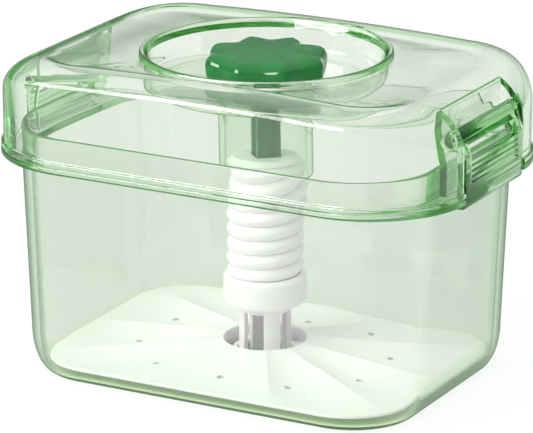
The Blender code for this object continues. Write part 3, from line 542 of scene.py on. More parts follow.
def wall_sizes(height):
    """Half sizes and corner radius of the container's outside at a height."""
    share = (height - BASE_FILLET_RISE) / (RIM_HEIGHT - BASE_FILLET_RISE)
    return tuple(low + (high - low) * share for low, high in zip(BASE_SIZES, RIM_SIZES))


def drawn_in(sizes, inset):
    """Sizes drawn in evenly."""
    return tuple(size - inset for size in sizes)


def foot_rows(inset, run, low, rise):
    """A round foot from its lowest row up, drawn in by an inset for the inside."""
    return [(*drawn_in(BASE_SIZES, inset + run * (1 - across)), low + rise * up)
            for up, across in quarter_round(FOOT_STEPS)]


def make_container():
    """The box as one skin, with a notch in the flange at each lever."""
    rows = foot_rows(0, BASE_FILLET_RUN, 0, BASE_FILLET_RISE)
    upper = [(*wall_sizes(FLANGE_BOTTOM), FLANGE_BOTTOM), (*FLANGE_SIZES, FLANGE_BOTTOM),
             (*FLANGE_SIZES, FLANGE_TOP), (*wall_sizes(FLANGE_TOP), FLANGE_TOP)]
    rim = [(*RIM_SIZES, RIM_HEIGHT), (*drawn_in(RIM_SIZES, RIM_WALL), RIM_HEIGHT)]
    neck = (*drawn_in(wall_sizes(FLANGE_BOTTOM), CONTAINER_WALL), FLANGE_BOTTOM)
    inside = foot_rows(CONTAINER_WALL, FLOOR_FILLET_RUN, FLOOR_THICKNESS, FLOOR_FILLET_RISE)
    middle = soften([rows[-1]] + upper + [rim[0]], EDGE_SOFT)
    rim = soften([upper[-1]] + rim + [neck], RIM_ROUND, steps=RIM_STEPS)
    rows = rows + middle[1:-1] + rim[1:] + inside[::-1]
    piece = loft("container_shell", [ring(row[:3], row[3]) for row in rows])
    for sign in (1, -1):
        notch = end_block("notch", sign, LEVER_NOSE_X, FLANGE_SIZES[0] + OVERRUN, RECESS_HALF_Y,
                          FLANGE_BOTTOM - OVERRUN, FLANGE_TOP + OVERRUN)
        cut(piece, notch)
    return piece


keep(make_container(), "container", "body", container_green)

# %% [markdown]
# ## Lid
# The lid is a deep hood. Its short ends curve down in a wide sweep, and its long sides turn over a
# flatter curve that rises to a soft crest before the top dips to the panel round the well. One outline is
# moved along its own normals, with the end's curve and the side's curve mixed by how far each point faces
# the end. A second hood, one wall smaller, is then cut out of the first. Each end has a recess for its
# lever: a stepped section pulled across the lid, with a small round at its upper lip, where the hood's
# sweep ends. The same section, one wall further in, is first taken off the cavity, which leaves the
# recess its wall. The round well is made in the same way, and the nut tube, the bosses and the sockets
# for the lever's pins follow.

# %% Lid
LID_BOTTOM = FLANGE_TOP + SEAT_GAP
LID_STEP = 0.001
LID_FLANGE_THICKNESS = 0.002
LID_WALL = 0.0019
LID_END_WALL = 0.0038
HOOD_SIZES = drawn_in(FLANGE_SIZES, LID_STEP)
HOOD_END_RUN = 0.0205
HOOD_END_RISE = 0.0185
HOOD_END_TOP = 0.1269
HOOD_SIDE_RUN = 0.0144
HOOD_SIDE_RISE = 0.006
HOOD_CREST = 0.13
HOOD_CROWN_DROP = 0.0012
END_SHARE_POWER = 3
PANEL_DIP = 0.0014
PANEL_TOP = HOOD_CREST - PANEL_DIP
LIP_RUN = 0.005
LIP_EASE_POWER = 1.3
LIP_SHARES = (0.15, 0.3, 0.45, 0.6, 0.75, 0.9, 1)
PANEL_SHARES = (0.12, 0.3, 0.5, 0.7, 0.88)
HOOD_STEPS = 24
BEAD_RADIUS = 0.05
BEAD_FOOT = 0.0004
BEAD_TOP = 0.1307
BEAD_ROUND = 0.0009
WELL_TOP_RADIUS = 0.0477
WELL_FLOOR_RADIUS = 0.0455
WELL_FILLET = 0.004
WELL_FLOOR_TOP = 0.117
WELL_WALL = 0.002
WELL_MOUTH_ROUND = 0.0009
WELL_STEPS = 12
WELL_MOUTH_STEPS = 5
NUT_RADIUS = 0.0186
NUT_BORE = 0.016
NUT_BOTTOM = 0.0783
CHEEK_THICKNESS = 0.0022
RECESS_TOP = 0.134
RECESS_LEDGE = (0.0889, 0.1165)
RECESS_WALL = (0.0917, 0.103)
RECESS_ROUND = 0.0012
RECESS_LIP = (0.0892, 0.1243)
RECESS_LIP_ROUND = 0.001
RECESS_LIP_STEPS = 6
NECK_RADIUS = 0.008
PIVOT = (0.0937, 0.1132)
PIN_STEPS = 40
TRUNNION_RADIUS = 0.0026
TRUNNION_REACH = 0.0027
BOSS_RADIUS = 0.0034
BOSS_REACH = 0.0044
LEVER_SIDE_GAP = RUN_GAP * 2


def hood_levels(side_wall=0, end_wall=0):
    """Levels from the hood's wall over its crest to the bead, drawn in by the walls for the inside."""
    places = outline(*HOOD_SIZES)
    straight = HOOD_SIZES[0] - HOOD_SIZES[2]
    levels = []
    for angle in quarter(HOOD_STEPS):
        fall = 1 - math.cos(angle)
        rise = math.sin(angle)
        level = []
        for point, normal in places:
            end_share = abs(normal.x) ** END_SHARE_POWER
            inset = fall * (HOOD_END_RUN * end_share + HOOD_SIDE_RUN * (1 - end_share))
            wall = end_wall * end_share + side_wall * (1 - end_share)
            end_height = HOOD_END_TOP - HOOD_END_RISE * (1 - rise)
            crown_drop = HOOD_CROWN_DROP * min(1, abs(point.x) / straight) ** 2
            side_height = HOOD_CREST - crown_drop - HOOD_SIDE_RISE * (1 - rise)
            height = end_height * end_share + side_height * (1 - end_share)
            place = point - normal * (inset + wall * math.cos(angle))
            level.append(Vector((*place, height - side_wall * rise)))
        levels.append(level)
    crest = levels[-1]
    foot = BEAD_RADIUS + BEAD_FOOT
    for share in LIP_SHARES:
        ease = math.sin(math.pi / 2 * share) ** LIP_EASE_POWER
        level = []
        for (point, normal), top in zip(places, crest):
            end_share = abs(normal.x) ** END_SHARE_POWER
            full = top.xy - normal * LIP_RUN
            room = (top.xy.length - foot) / (top.xy.length - full.length)
            place = top.xy - normal * LIP_RUN * min(1, room) * share
            level.append(Vector((*place, top.z - PANEL_DIP * (1 - end_share) * ease)))
        levels.append(level)
    lip = levels[-1]
    panel = round_level(lip, BEAD_RADIUS + BEAD_FOOT / 2, PANEL_TOP - side_wall)
    for share in PANEL_SHARES:
        ease = share * share * (3 - 2 * share)
        level = []
        for start, end in zip(lip, panel):
            place = start.lerp(end, share)
            place.z = start.z + (end.z - start.z) * ease
            level.append(place)
        levels.append(level)
    return levels


def round_level(guide, radius, height):
    """A round level whose points lie in the directions of the guide's points."""
    return [Vector((*(point.xy.normalized() * radius), height)) for point in guide]


def make_hood():
    """Outside of the hood with its flange and the bead round the well."""
    low = soften([(*drawn_in(FLANGE_SIZES, LID_WALL), LID_BOTTOM), (*FLANGE_SIZES, LID_BOTTOM),
                  (*FLANGE_SIZES, LID_BOTTOM + LID_FLANGE_THICKNESS),
                  (*HOOD_SIZES, LID_BOTTOM + LID_FLANGE_THICKNESS),
                  (*HOOD_SIZES, HOOD_END_TOP - HOOD_END_RISE)], EDGE_SOFT)
    levels = [ring(row[:3], row[3]) for row in low[:-1]]
    levels += hood_levels()
    bead = soften([(BEAD_RADIUS + BEAD_FOOT / 2, PANEL_TOP), (BEAD_RADIUS, PANEL_TOP),
                   (BEAD_RADIUS, BEAD_TOP), (WELL_TOP_RADIUS, BEAD_TOP)], BEAD_ROUND)
    guide = levels[-1]
    levels += [round_level(guide, radius, height) for radius, height in bead]
    return loft("lid_hood", levels)


def make_cavity():
    """Inside of the hood, open below."""
    top = hood_levels(LID_WALL, LID_END_WALL)
    below = [Vector((point.x, point.y, LID_BOTTOM - OVERRUN)) for point in top[0]]
    rim = round_level(top[-1], BEAD_RADIUS, PANEL_TOP - LID_WALL)
    return loft("cavity", [below] + top + [rim])


def recess_points(offset, sign):
    """Section of an end recess in XZ, drawn towards the middle by an offset, with a rounded upper lip."""
    reach = FLANGE_SIZES[0] + OVERRUN
    bottom = LID_BOTTOM - OVERRUN
    corners = [(RECESS_LIP[0] - offset, RECESS_LIP[1] - RECESS_LIP_ROUND),
               (RECESS_LEDGE[0] - offset, RECESS_LEDGE[1] - offset / 2),
               (RECESS_WALL[0] - offset, RECESS_WALL[1]), (RECESS_WALL[0] - offset, bottom)]
    points = [(RECESS_LIP[0] - RECESS_LIP_ROUND - offset, RECESS_TOP)]
    for fall, rise in quarter_round(RECESS_LIP_STEPS)[:-1]:
        points.append((RECESS_LIP[0] - offset - RECESS_LIP_ROUND * (1 - rise),
                       RECESS_LIP[1] - RECESS_LIP_ROUND * fall))
    points += soften(corners, RECESS_ROUND) + [(reach, bottom), (reach, RECESS_TOP)]
    return mirrored(points, sign)


def well_profile(offset, top):
    """The well from its floor up, widened by an offset for the outside of its wall."""
    rows = []
    for fall, rise in quarter_round(WELL_STEPS):
        radius = WELL_FLOOR_RADIUS + offset - (WELL_FILLET + offset) * (1 - rise)
        rows.append((radius, WELL_FLOOR_TOP - offset + (WELL_FILLET + offset) * fall))
    if offset:
        rows.append((WELL_TOP_RADIUS + offset, top))
        return rows
    mouth = BEAD_TOP - WELL_MOUTH_ROUND
    for fall, rise in quarter_round(WELL_MOUTH_STEPS):
        rows.append((WELL_TOP_RADIUS + WELL_MOUTH_ROUND * fall, mouth + WELL_MOUTH_ROUND * rise))
    rows.append((rows[-1][0], top))
    return rows


def pivot_pin(name, sign, radius, y_from, y_to):
    """A short cylinder along Y round a lever's pivot."""
    angles = [math.tau * i / PIN_STEPS for i in range(PIN_STEPS)]
    points = [(sign * PIVOT[0] + radius * math.cos(angle), PIVOT[1] + radius * math.sin(angle))
              for angle in angles]
    return prism(name, points, y_from, y_to)


def make_lid():
    """The whole lid as one body."""
    lid = make_hood()
    cavity = make_cavity()
    well_end = HOOD_CREST + OVERRUN
    cut(cavity, turned("well_room", well_profile(WELL_WALL, well_end), capped=True))
    for sign in (1, -1):
        half_y = RECESS_HALF_Y + CHEEK_THICKNESS
        cut(cavity, prism("room", recess_points(LID_WALL, sign), -half_y, half_y))
    cut(lid, cavity)
    for sign in (1, -1):
        cut(lid, prism("recess", recess_points(0, sign), -RECESS_HALF_Y, RECESS_HALF_Y))
    cut(lid, turned("well", well_profile(0, well_end), capped=True))
    top = WELL_FLOOR_TOP - WELL_WALL / 2
    corners = [(NUT_BORE, NUT_BOTTOM), (NUT_RADIUS, NUT_BOTTOM), (NUT_RADIUS, top), (NUT_BORE, top)]
    join(lid, turned("tube", soften(corners, EDGE_SOFT, closed=True)))
    for sign_x in (1, -1):
        for sign_y in (1, -1):
            inner = sign_y * (RECESS_HALF_Y + CHEEK_THICKNESS / 2)
            outer = sign_y * (RECESS_HALF_Y + BOSS_REACH)
            join(lid, pivot_pin("boss", sign_x, BOSS_RADIUS, inner, outer))
            mouth = sign_y * (RECESS_HALF_Y - LEVER_SIDE_GAP)
            deep = sign_y * (RECESS_HALF_Y + TRUNNION_REACH)
            cut(lid, pivot_pin("socket", sign_x, TRUNNION_RADIUS + SEAT_GAP, mouth, deep))
    bore = NECK_RADIUS + RUN_GAP
    cut(lid, turned("bore", [(bore, NUT_BOTTOM), (bore, HOOD_CREST)], capped=True))
    return lid


keep(make_lid(), "lid", "body", lid_green)

# %% [markdown]
# ## Lock levers
# Each lever is a flat clear plate that hangs from a round bar between the lid's cheeks. It has a window
# for a fingertip, a row of grip ribs and a hook that catches under the container's flange. A section
# pulled along Y gives the plate, bar and hook in one go. The window and the grooves between the ribs are
# cut, and the edges are broken with a small bevel, as a moulded edge would be.

# %% Lock levers
LEVER_BAR_RADIUS = 0.0031
LEVER_BAR_DEGREES = (20, 230)
LEVER_BAR_STEPS = 30
LEVER_OUTER_X = 0.0995
LEVER_THICKNESS = 0.0033
LEVER_FACE_X = LEVER_OUTER_X - LEVER_THICKNESS
LEVER_SHOULDER_Z = 0.106
HOOK_REACH = 0.0022
HOOK_THICKNESS = 0.0018
HOOK_DROP = 0.0006
HOOK_SLANT = 0.0009
HOOK_TOP = FLANGE_BOTTOM - HOOK_DROP
WINDOW_HALF_Y = 0.0205
WINDOW_LOW = 0.1045
WINDOW_HIGH = 0.1105
GROOVE_COUNT = 4
GROOVE_WIDTH = 0.0009
GROOVE_DEPTH = 0.001
GROOVE_LOW = 0.0955
GROOVE_STEP = 0.0022
LEVER_SOFT = 0.0005
LEVER_BEVEL = 0.0002


def lever_section(sign):
    """Section of a closed lever in XZ, with rounded corners."""
    nose = LEVER_NOSE_X + SEAT_GAP
    start, end = LEVER_BAR_DEGREES
    bar = []
    for step in range(LEVER_BAR_STEPS + 1):
        angle = math.radians(start + (end - start) * step / LEVER_BAR_STEPS)
        bar.append((PIVOT[0] + LEVER_BAR_RADIUS * math.cos(angle),
                    PIVOT[1] + LEVER_BAR_RADIUS * math.sin(angle)))
    corners = [bar[-1], (LEVER_FACE_X, LEVER_SHOULDER_Z), (LEVER_FACE_X, LID_BOTTOM + LID_FLANGE_THICKNESS),
               (nose, LID_BOTTOM), (nose, HOOK_TOP), (nose - HOOK_REACH, HOOK_TOP),
               (nose - HOOK_REACH, HOOK_TOP - HOOK_THICKNESS),
               (LEVER_OUTER_X - HOOK_SLANT, HOOK_TOP - HOOK_THICKNESS), (LEVER_OUTER_X, HOOK_TOP),
               (LEVER_OUTER_X, LEVER_SHOULDER_Z), bar[0]]
    points = bar[:-1] + soften(corners, LEVER_SOFT)[:-1]
    return mirrored(points, sign)


def make_lever(name, sign):
    """One lever with its pins, window and grip ribs."""
    half_width = RECESS_HALF_Y - LEVER_SIDE_GAP
    lever = prism(name, lever_section(sign), -half_width, half_width)
    cuts = [(LEVER_FACE_X - OVERRUN, WINDOW_LOW, WINDOW_HIGH)]
    for index in range(GROOVE_COUNT):
        low = GROOVE_LOW + GROOVE_STEP * index
        cuts.append((LEVER_OUTER_X - GROOVE_DEPTH, low, low + GROOVE_WIDTH))
    for near, low, high in cuts:
        cut(lever, end_block("cut", sign, near, LEVER_OUTER_X + OVERRUN, WINDOW_HALF_Y, low, high))
    bevel(lever, LEVER_BEVEL)
    for sign_y in (1, -1):
        reach = RECESS_HALF_Y + TRUNNION_REACH - SEAT_GAP
        join(lever, pivot_pin("pin", sign, TRUNNION_RADIUS, sign_y * WINDOW_HALF_Y, sign_y * reach))
    return lever


for side, sign in (("right", 1), ("left", -1)):
    lever = make_lever(f"{side}_lever_clear", sign)
    keep(lever, f"lock_lever_{side}", f"lock_lever_{side}", lever_green)

# %% [markdown]
# ## Knob
# The knob is a solid green moulding with eight soft lobes. A cosine draws the valleys between them, and
# the valleys flare out over the top edge, so that the top flows down into each one. Under the lid it
# carries a neck, a snap barb and a square shaft with a shallow groove in each face, which drives the
# spindle.

# %% Knob
KNOB_RADIUS = 0.025
KNOB_LOBES = 8
KNOB_VALLEY = 0.0026
KNOB_VALLEY_FLARE = 0.0042
KNOB_RIDGE_POWER = 0.7
KNOB_TOP = 0.131
KNOB_DOME = 0.0007
KNOB_EDGE = 0.0045
KNOB_SKIRT_RADIUS = 0.0235
KNOB_SOFT = 0.0006
KNOB_STEPS = 192
KNOB_EDGE_STEPS = 16
KNOB_WALL_SHARES = (0.3, 0.6, 0.85)
KNOB_TOP_SHARES = (0.92, 0.82, 0.68, 0.5, 0.3, 0.1)
NECK_STEPS = 96
NECK_BOTTOM = 0.1115
BARB_RADIUS = 0.009
BARB_HEIGHT = 0.0014
SHAFT_FACES = 4
SHAFT_SIDE = 0.0095
SHAFT_BOTTOM = 0.07
SHAFT_GROOVE_WIDTH = 0.005
SHAFT_GROOVE_DEPTH = 0.0007
SHAFT_BEVEL = 0.0003


def knob_level(radius, height, fall=0.0, calm=1.0):
    """One level of the lobed knob. Calm lowers the lobes towards the middle of the top."""
    level = []
    for step in range(KNOB_STEPS):
        angle = math.tau * step / KNOB_STEPS
        valley_share = max(0, 0.5 - 0.5 * math.cos(KNOB_LOBES * angle)) ** KNOB_RIDGE_POWER * calm
        reach = radius - (KNOB_VALLEY + KNOB_VALLEY_FLARE * fall) * valley_share
        level.append(Vector((reach * math.cos(angle), reach * math.sin(angle), height)))
    return level


def make_knob():
    """Lobed grip, neck with a barb and grooved square shaft as one body."""
    bottom = WELL_FLOOR_TOP + RUN_GAP
    levels = [knob_level(KNOB_SKIRT_RADIUS - KNOB_SOFT, bottom),
              knob_level(KNOB_SKIRT_RADIUS, bottom + KNOB_SOFT)]
    wall_top = KNOB_TOP - KNOB_DOME - KNOB_EDGE
    for share in KNOB_WALL_SHARES:
        radius = KNOB_SKIRT_RADIUS + (KNOB_RADIUS - KNOB_SKIRT_RADIUS) * math.sin(math.pi / 2 * share)
        levels.append(knob_level(radius, bottom + (wall_top - bottom) * share))
    for fall, rise in quarter_round(KNOB_EDGE_STEPS):
        levels.append(knob_level(KNOB_RADIUS - KNOB_EDGE * fall, wall_top + KNOB_EDGE * rise, fall))
    top_radius = KNOB_RADIUS - KNOB_EDGE
    for share in KNOB_TOP_SHARES:
        height = KNOB_TOP - KNOB_DOME * share ** 2
        levels.append(knob_level(top_radius * share, height, 1.0, share ** 2))
    knob = loft("knob_grip", levels)
    floor_under = WELL_FLOOR_TOP - WELL_WALL
    barb_top = floor_under - RUN_GAP
    rows = [(NECK_RADIUS - KNOB_SOFT, NECK_BOTTOM), (NECK_RADIUS, NECK_BOTTOM + KNOB_SOFT),
            (NECK_RADIUS, barb_top - BARB_HEIGHT), (BARB_RADIUS, barb_top), (NECK_RADIUS, barb_top),
            (NECK_RADIUS, bottom + BARB_HEIGHT)]
    join(knob, turned("neck", rows, capped=True, steps=NECK_STEPS))
    half = SHAFT_SIDE / 2
    shaft = block("shaft", (-half, -half, SHAFT_BOTTOM), (half, half, floor_under))
    low = (half - SHAFT_GROOVE_DEPTH, -SHAFT_GROOVE_WIDTH / 2, SHAFT_BOTTOM - OVERRUN)
    high = (half + OVERRUN, SHAFT_GROOVE_WIDTH / 2, NECK_BOTTOM - SHAFT_GROOVE_DEPTH)
    for index in range(SHAFT_FACES):
        groove = block("groove", low, high)
        groove.rotation_euler.z = math.tau * index / SHAFT_FACES
        cut(shaft, groove)
    bevel(shaft, SHAFT_BEVEL)
    shaft.rotation_euler.z = math.pi / 4
    join(knob, shaft)
    return knob


keep(make_knob(), "knob", "knob", knob_green)

# %% [markdown]
# ## Spindle and end cap
# The spindle is a hollow white screw with a rounded thread. The thread is one helical skin: each column
# of points starts a little higher than the one before, and the last column meets the first one pitch up.
# The skin is trimmed to length by a round body, bored out and given a square hole for the shaft. A smooth
# cap closes its lower end.

# %% Spindle and end cap
PITCH = 0.0058
THREAD_CREST = 0.01545
THREAD_ROOT = 0.0135
THREAD_FULLNESS = 0.75
THREAD_STEPS = 96
THREAD_ROWS = 18
SPINDLE_TOP = 0.0875
SPINDLE_TOP_RADIUS = 0.0129
SPINDLE_CAP = 0.006
SPINDLE_BORE = 0.0122
SPIGOT_RADIUS = 0.0132
SPIGOT_BOTTOM = 0.03
COLLAR_RADIUS = 0.0167
COLLAR_TOP = 0.039
COLLAR_BOTTOM = 0.027
COLLAR_CHAMFER = 0.0016
COLLAR_SOFT = 0.0007
PLUNGER_RADIUS = 0.0104


def make_thread():
    """Right-hand rounded thread, a turn longer than the spindle at both ends."""
    turns = math.ceil((SPINDLE_TOP - COLLAR_TOP) / PITCH) + 2
    bm = bmesh.new()
    grid = {}
    for row in range(turns * THREAD_ROWS + 1):
        swell = abs(math.sin(math.pi * row / THREAD_ROWS)) ** THREAD_FULLNESS
        radius = THREAD_ROOT + (THREAD_CREST - THREAD_ROOT) * swell
        for step in range(THREAD_STEPS):
            angle = math.tau * step / THREAD_STEPS
            height = COLLAR_TOP + PITCH * (step / THREAD_STEPS - 1 + row / THREAD_ROWS)
            grid[row, step] = bm.verts.new((radius * math.cos(angle), radius * math.sin(angle), height))
    last = turns * THREAD_ROWS - THREAD_ROWS

    def vertex(row, step):
        return grid[row, step] if step < THREAD_STEPS else grid[row + THREAD_ROWS, 0]

    for row in range(last):
        for step in range(THREAD_STEPS):
            bm.faces.new((vertex(row, step), vertex(row, step + 1),
                          vertex(row + 1, step + 1), vertex(row + 1, step)))
    for row, side in ((0, -1), (last, 1)):
        middle = bm.verts.new((0, 0, COLLAR_TOP + PITCH * (row / THREAD_ROWS + side - 1)))
        edge = [vertex(row, step) for step in range(THREAD_STEPS + 1)]
        edge += [grid[index, 0] for index in range(row + THREAD_ROWS - 1, row - 1, -1)]
        for start, end in zip(edge, edge[1:]):
            bm.faces.new((start, end, middle))
    loose = [vert for vert in bm.verts if not vert.link_faces]
    bmesh.ops.delete(bm, geom=loose, context='VERTS')
    return add_piece("spindle_screw", bm)


def make_spindle():
    """The thread trimmed, closed at the top, bored and joined to its lower spigot."""
    chamfer = THREAD_CREST - SPINDLE_TOP_RADIUS
    wide = THREAD_CREST + chamfer
    spindle = make_thread()
    trim = turned("trim", [(wide, COLLAR_TOP + SEAT_GAP), (wide, SPINDLE_TOP - chamfer * 2),
                           (SPINDLE_TOP_RADIUS, SPINDLE_TOP)], capped=True)
    combine(spindle, 'INTERSECT', trim)
    rows = [(SPIGOT_RADIUS, SPIGOT_BOTTOM), (SPIGOT_RADIUS, COLLAR_TOP + PITCH)]
    join(spindle, turned("spigot", rows, capped=True))
    rows = [(SPINDLE_BORE, SPIGOT_BOTTOM - OVERRUN), (SPINDLE_BORE, SPINDLE_TOP - SPINDLE_CAP)]
    cut(spindle, turned("bore", rows, capped=True))
    half_diagonal = (SHAFT_SIDE + RUN_GAP * 2) / math.sqrt(2)
    hole = loft("hole", [circle(half_diagonal, SPINDLE_TOP - SPINDLE_CAP - OVERRUN, SHAFT_FACES),
                         circle(half_diagonal, SPINDLE_TOP + OVERRUN, SHAFT_FACES)])
    cut(spindle, hole)
    return spindle


def make_collar():
    """Cap on the spindle's spigot, with softly rounded shoulders."""
    step_top = SPIGOT_BOTTOM - SEAT_GAP
    throat = PLUNGER_RADIUS + RUN_GAP
    seat = SPIGOT_RADIUS + SEAT_GAP
    rows = [(throat, COLLAR_BOTTOM), (COLLAR_RADIUS - COLLAR_CHAMFER / 2, COLLAR_BOTTOM),
            (COLLAR_RADIUS, COLLAR_BOTTOM + COLLAR_CHAMFER), (COLLAR_RADIUS, COLLAR_TOP - COLLAR_CHAMFER),
            (COLLAR_RADIUS - COLLAR_CHAMFER, COLLAR_TOP), (seat, COLLAR_TOP), (seat, step_top),
            (throat, step_top)]
    return turned("spindle_end_cap", soften(rows, COLLAR_SOFT, closed=True))


keep(make_spindle(), "spindle", "spindle", white)
keep(make_collar(), "spindle_collar", "spindle", white)
for slot in bpy.data.objects["plunger_spring"].material_slots:
    slot.material = spring_steel

# %% [markdown]
# ## Plunger
# The plunger slides in the end cap against its spring. Its sleeve is turned, and four legs reach down
# through the plate's hub, where their feet hook under a ring. The legs are arcs of the sleeve's own wall.

# %% Plunger
PLUNGER_BORE = 0.0076
PLUNGER_TOP = 0.0405
PLUNGER_FLANGE_RADIUS = 0.0119
PLUNGER_FLANGE_THICKNESS = 0.002
SLEEVE_BOTTOM = 0.0236
LEG_COUNT = 4
LEG_WIDTH = 0.007
LEG_THICKNESS = 0.002
LEG_BOTTOM = 0.0033
LEG_ARC_STEPS = 12
FOOT_RADIUS = 0.0124
FOOT_THICKNESS = 0.0017
PLUNGER_SOFT = 0.0004
LEG_BEVEL = 0.0003


def leg_turn(index):
    """Direction of a leg. The legs stand halfway between the axes."""
    return math.tau * (index + 0.5) / LEG_COUNT


def make_leg(angle):
    """One leg with its foot, as an arc of the sleeve."""
    inner = PLUNGER_RADIUS - LEG_THICKNESS
    foot_top = LEG_BOTTOM + FOOT_THICKNESS
    spread = math.asin(LEG_WIDTH / 2 / PLUNGER_RADIUS)
    arc = [angle + spread * (2 * step / LEG_ARC_STEPS - 1) for step in range(LEG_ARC_STEPS + 1)]
    levels = []
    for height, outer in ((LEG_BOTTOM, FOOT_RADIUS), (foot_top, FOOT_RADIUS), (foot_top, PLUNGER_RADIUS),
                          (SLEEVE_BOTTOM + OVERRUN / 2, PLUNGER_RADIUS)):
        levels.append(round_points(arc, outer, height) + round_points(reversed(arc), inner, height))
    leg = loft("leg", levels)
    bevel(leg, LEG_BEVEL)
    return leg


def make_plunger():
    """Turned sleeve with its retaining flange and four legs."""
    low = SPIGOT_BOTTOM
    high = low + PLUNGER_FLANGE_THICKNESS
    rows = [(PLUNGER_BORE, SLEEVE_BOTTOM), (PLUNGER_RADIUS, SLEEVE_BOTTOM), (PLUNGER_RADIUS, low),
            (PLUNGER_FLANGE_RADIUS, low), (PLUNGER_FLANGE_RADIUS, high), (PLUNGER_RADIUS, high),
            (PLUNGER_RADIUS, PLUNGER_TOP), (PLUNGER_BORE, PLUNGER_TOP)]
    plunger = turned("plunger_sleeve", soften(rows, PLUNGER_SOFT, closed=True))
    for index in range(LEG_COUNT):
        join(plunger, make_leg(leg_turn(index)))
    return plunger


keep(make_plunger(), "plunger", "plunger", white)

# %% [markdown]
# ## Press plate
# The plate rises from its rim to a hub and has shallow flutes between radial ridges, which lead the brine
# to small drain holes. Its mesh runs in rings from the hub's hole to the rim. Each ring follows the
# straight line from the hole to the rounded rectangle of the edge, so the rings change from round to
# square by themselves.

# %% Press plate
PLATE_SIZES = (0.0781, 0.056, 0.025)
PLATE_BOTTOM = FLOOR_THICKNESS + SEAT_GAP
PLATE_RIM_BOTTOM = 0.0054
PLATE_RIM_TOP = 0.0068
PLATE_THICKNESS = 0.0016
PLATE_THIN = 0.001
PLATE_EDGE_ROUND = 0.0007
PLATE_TOP_ROUND = 0.0005
PLATE_EDGE_STEPS = 6
PLATE_TOP_STEPS = 5
HUB_HOLE_RADIUS = 0.0164
HUB_TOP = 0.0117
HUB_WALL = 0.002
HUB_ROUND = 0.0006
FLUTE_DEPTH = 0.0029
FLUTE_POWER = 0.85
HUB_RING_WALL = 0.0022
HUB_RING_THICKNESS = 0.0022
SPOKE_WIDTH = 0.006
PLATE_RINGS = 26
PLATE_RINGS_SKIPPED = 2
SECTOR_DEGREES = 30
SECTOR_STEPS = 22
RIDGE_DEGREES = (0, 30, 60, 120, 150, 180, 210, 240, 300, 330)
DRAIN_RADIUS = 0.0015
DRAIN_STEPS = 32
DRAIN_X_SHARES = (0.634, 0.378, 0.0)
DRAIN_Y_SHARES = (0.264, 0.643, 0.661)
TINY = 1e-9


def plate_reach(angle, half_x, half_y, corner):
    """Distance from the middle of a rounded rectangle to its edge, at an angle."""
    along = Vector((abs(math.cos(angle)), abs(math.sin(angle))))
    reach = min(half_x / max(along.x, TINY), half_y / max(along.y, TINY))
    centre = Vector((half_x - corner, half_y - corner))
    if along.x * reach > centre.x and along.y * reach > centre.y:
        shadow = centre.dot(along)
        reach = shadow + math.sqrt(shadow * shadow - centre.length_squared + corner * corner)
    return reach


def plate_directions():
    """Directions of the plate's mesh, each with its share of the way between two ridges."""
    directions = []
    for start, end in zip(RIDGE_DEGREES, RIDGE_DEGREES[1:] + (360,)):
        steps = SECTOR_STEPS * round((end - start) / SECTOR_DEGREES)
        for step in range(steps):
            directions.append((math.radians(start + (end - start) * step / steps), step / steps))
    return directions


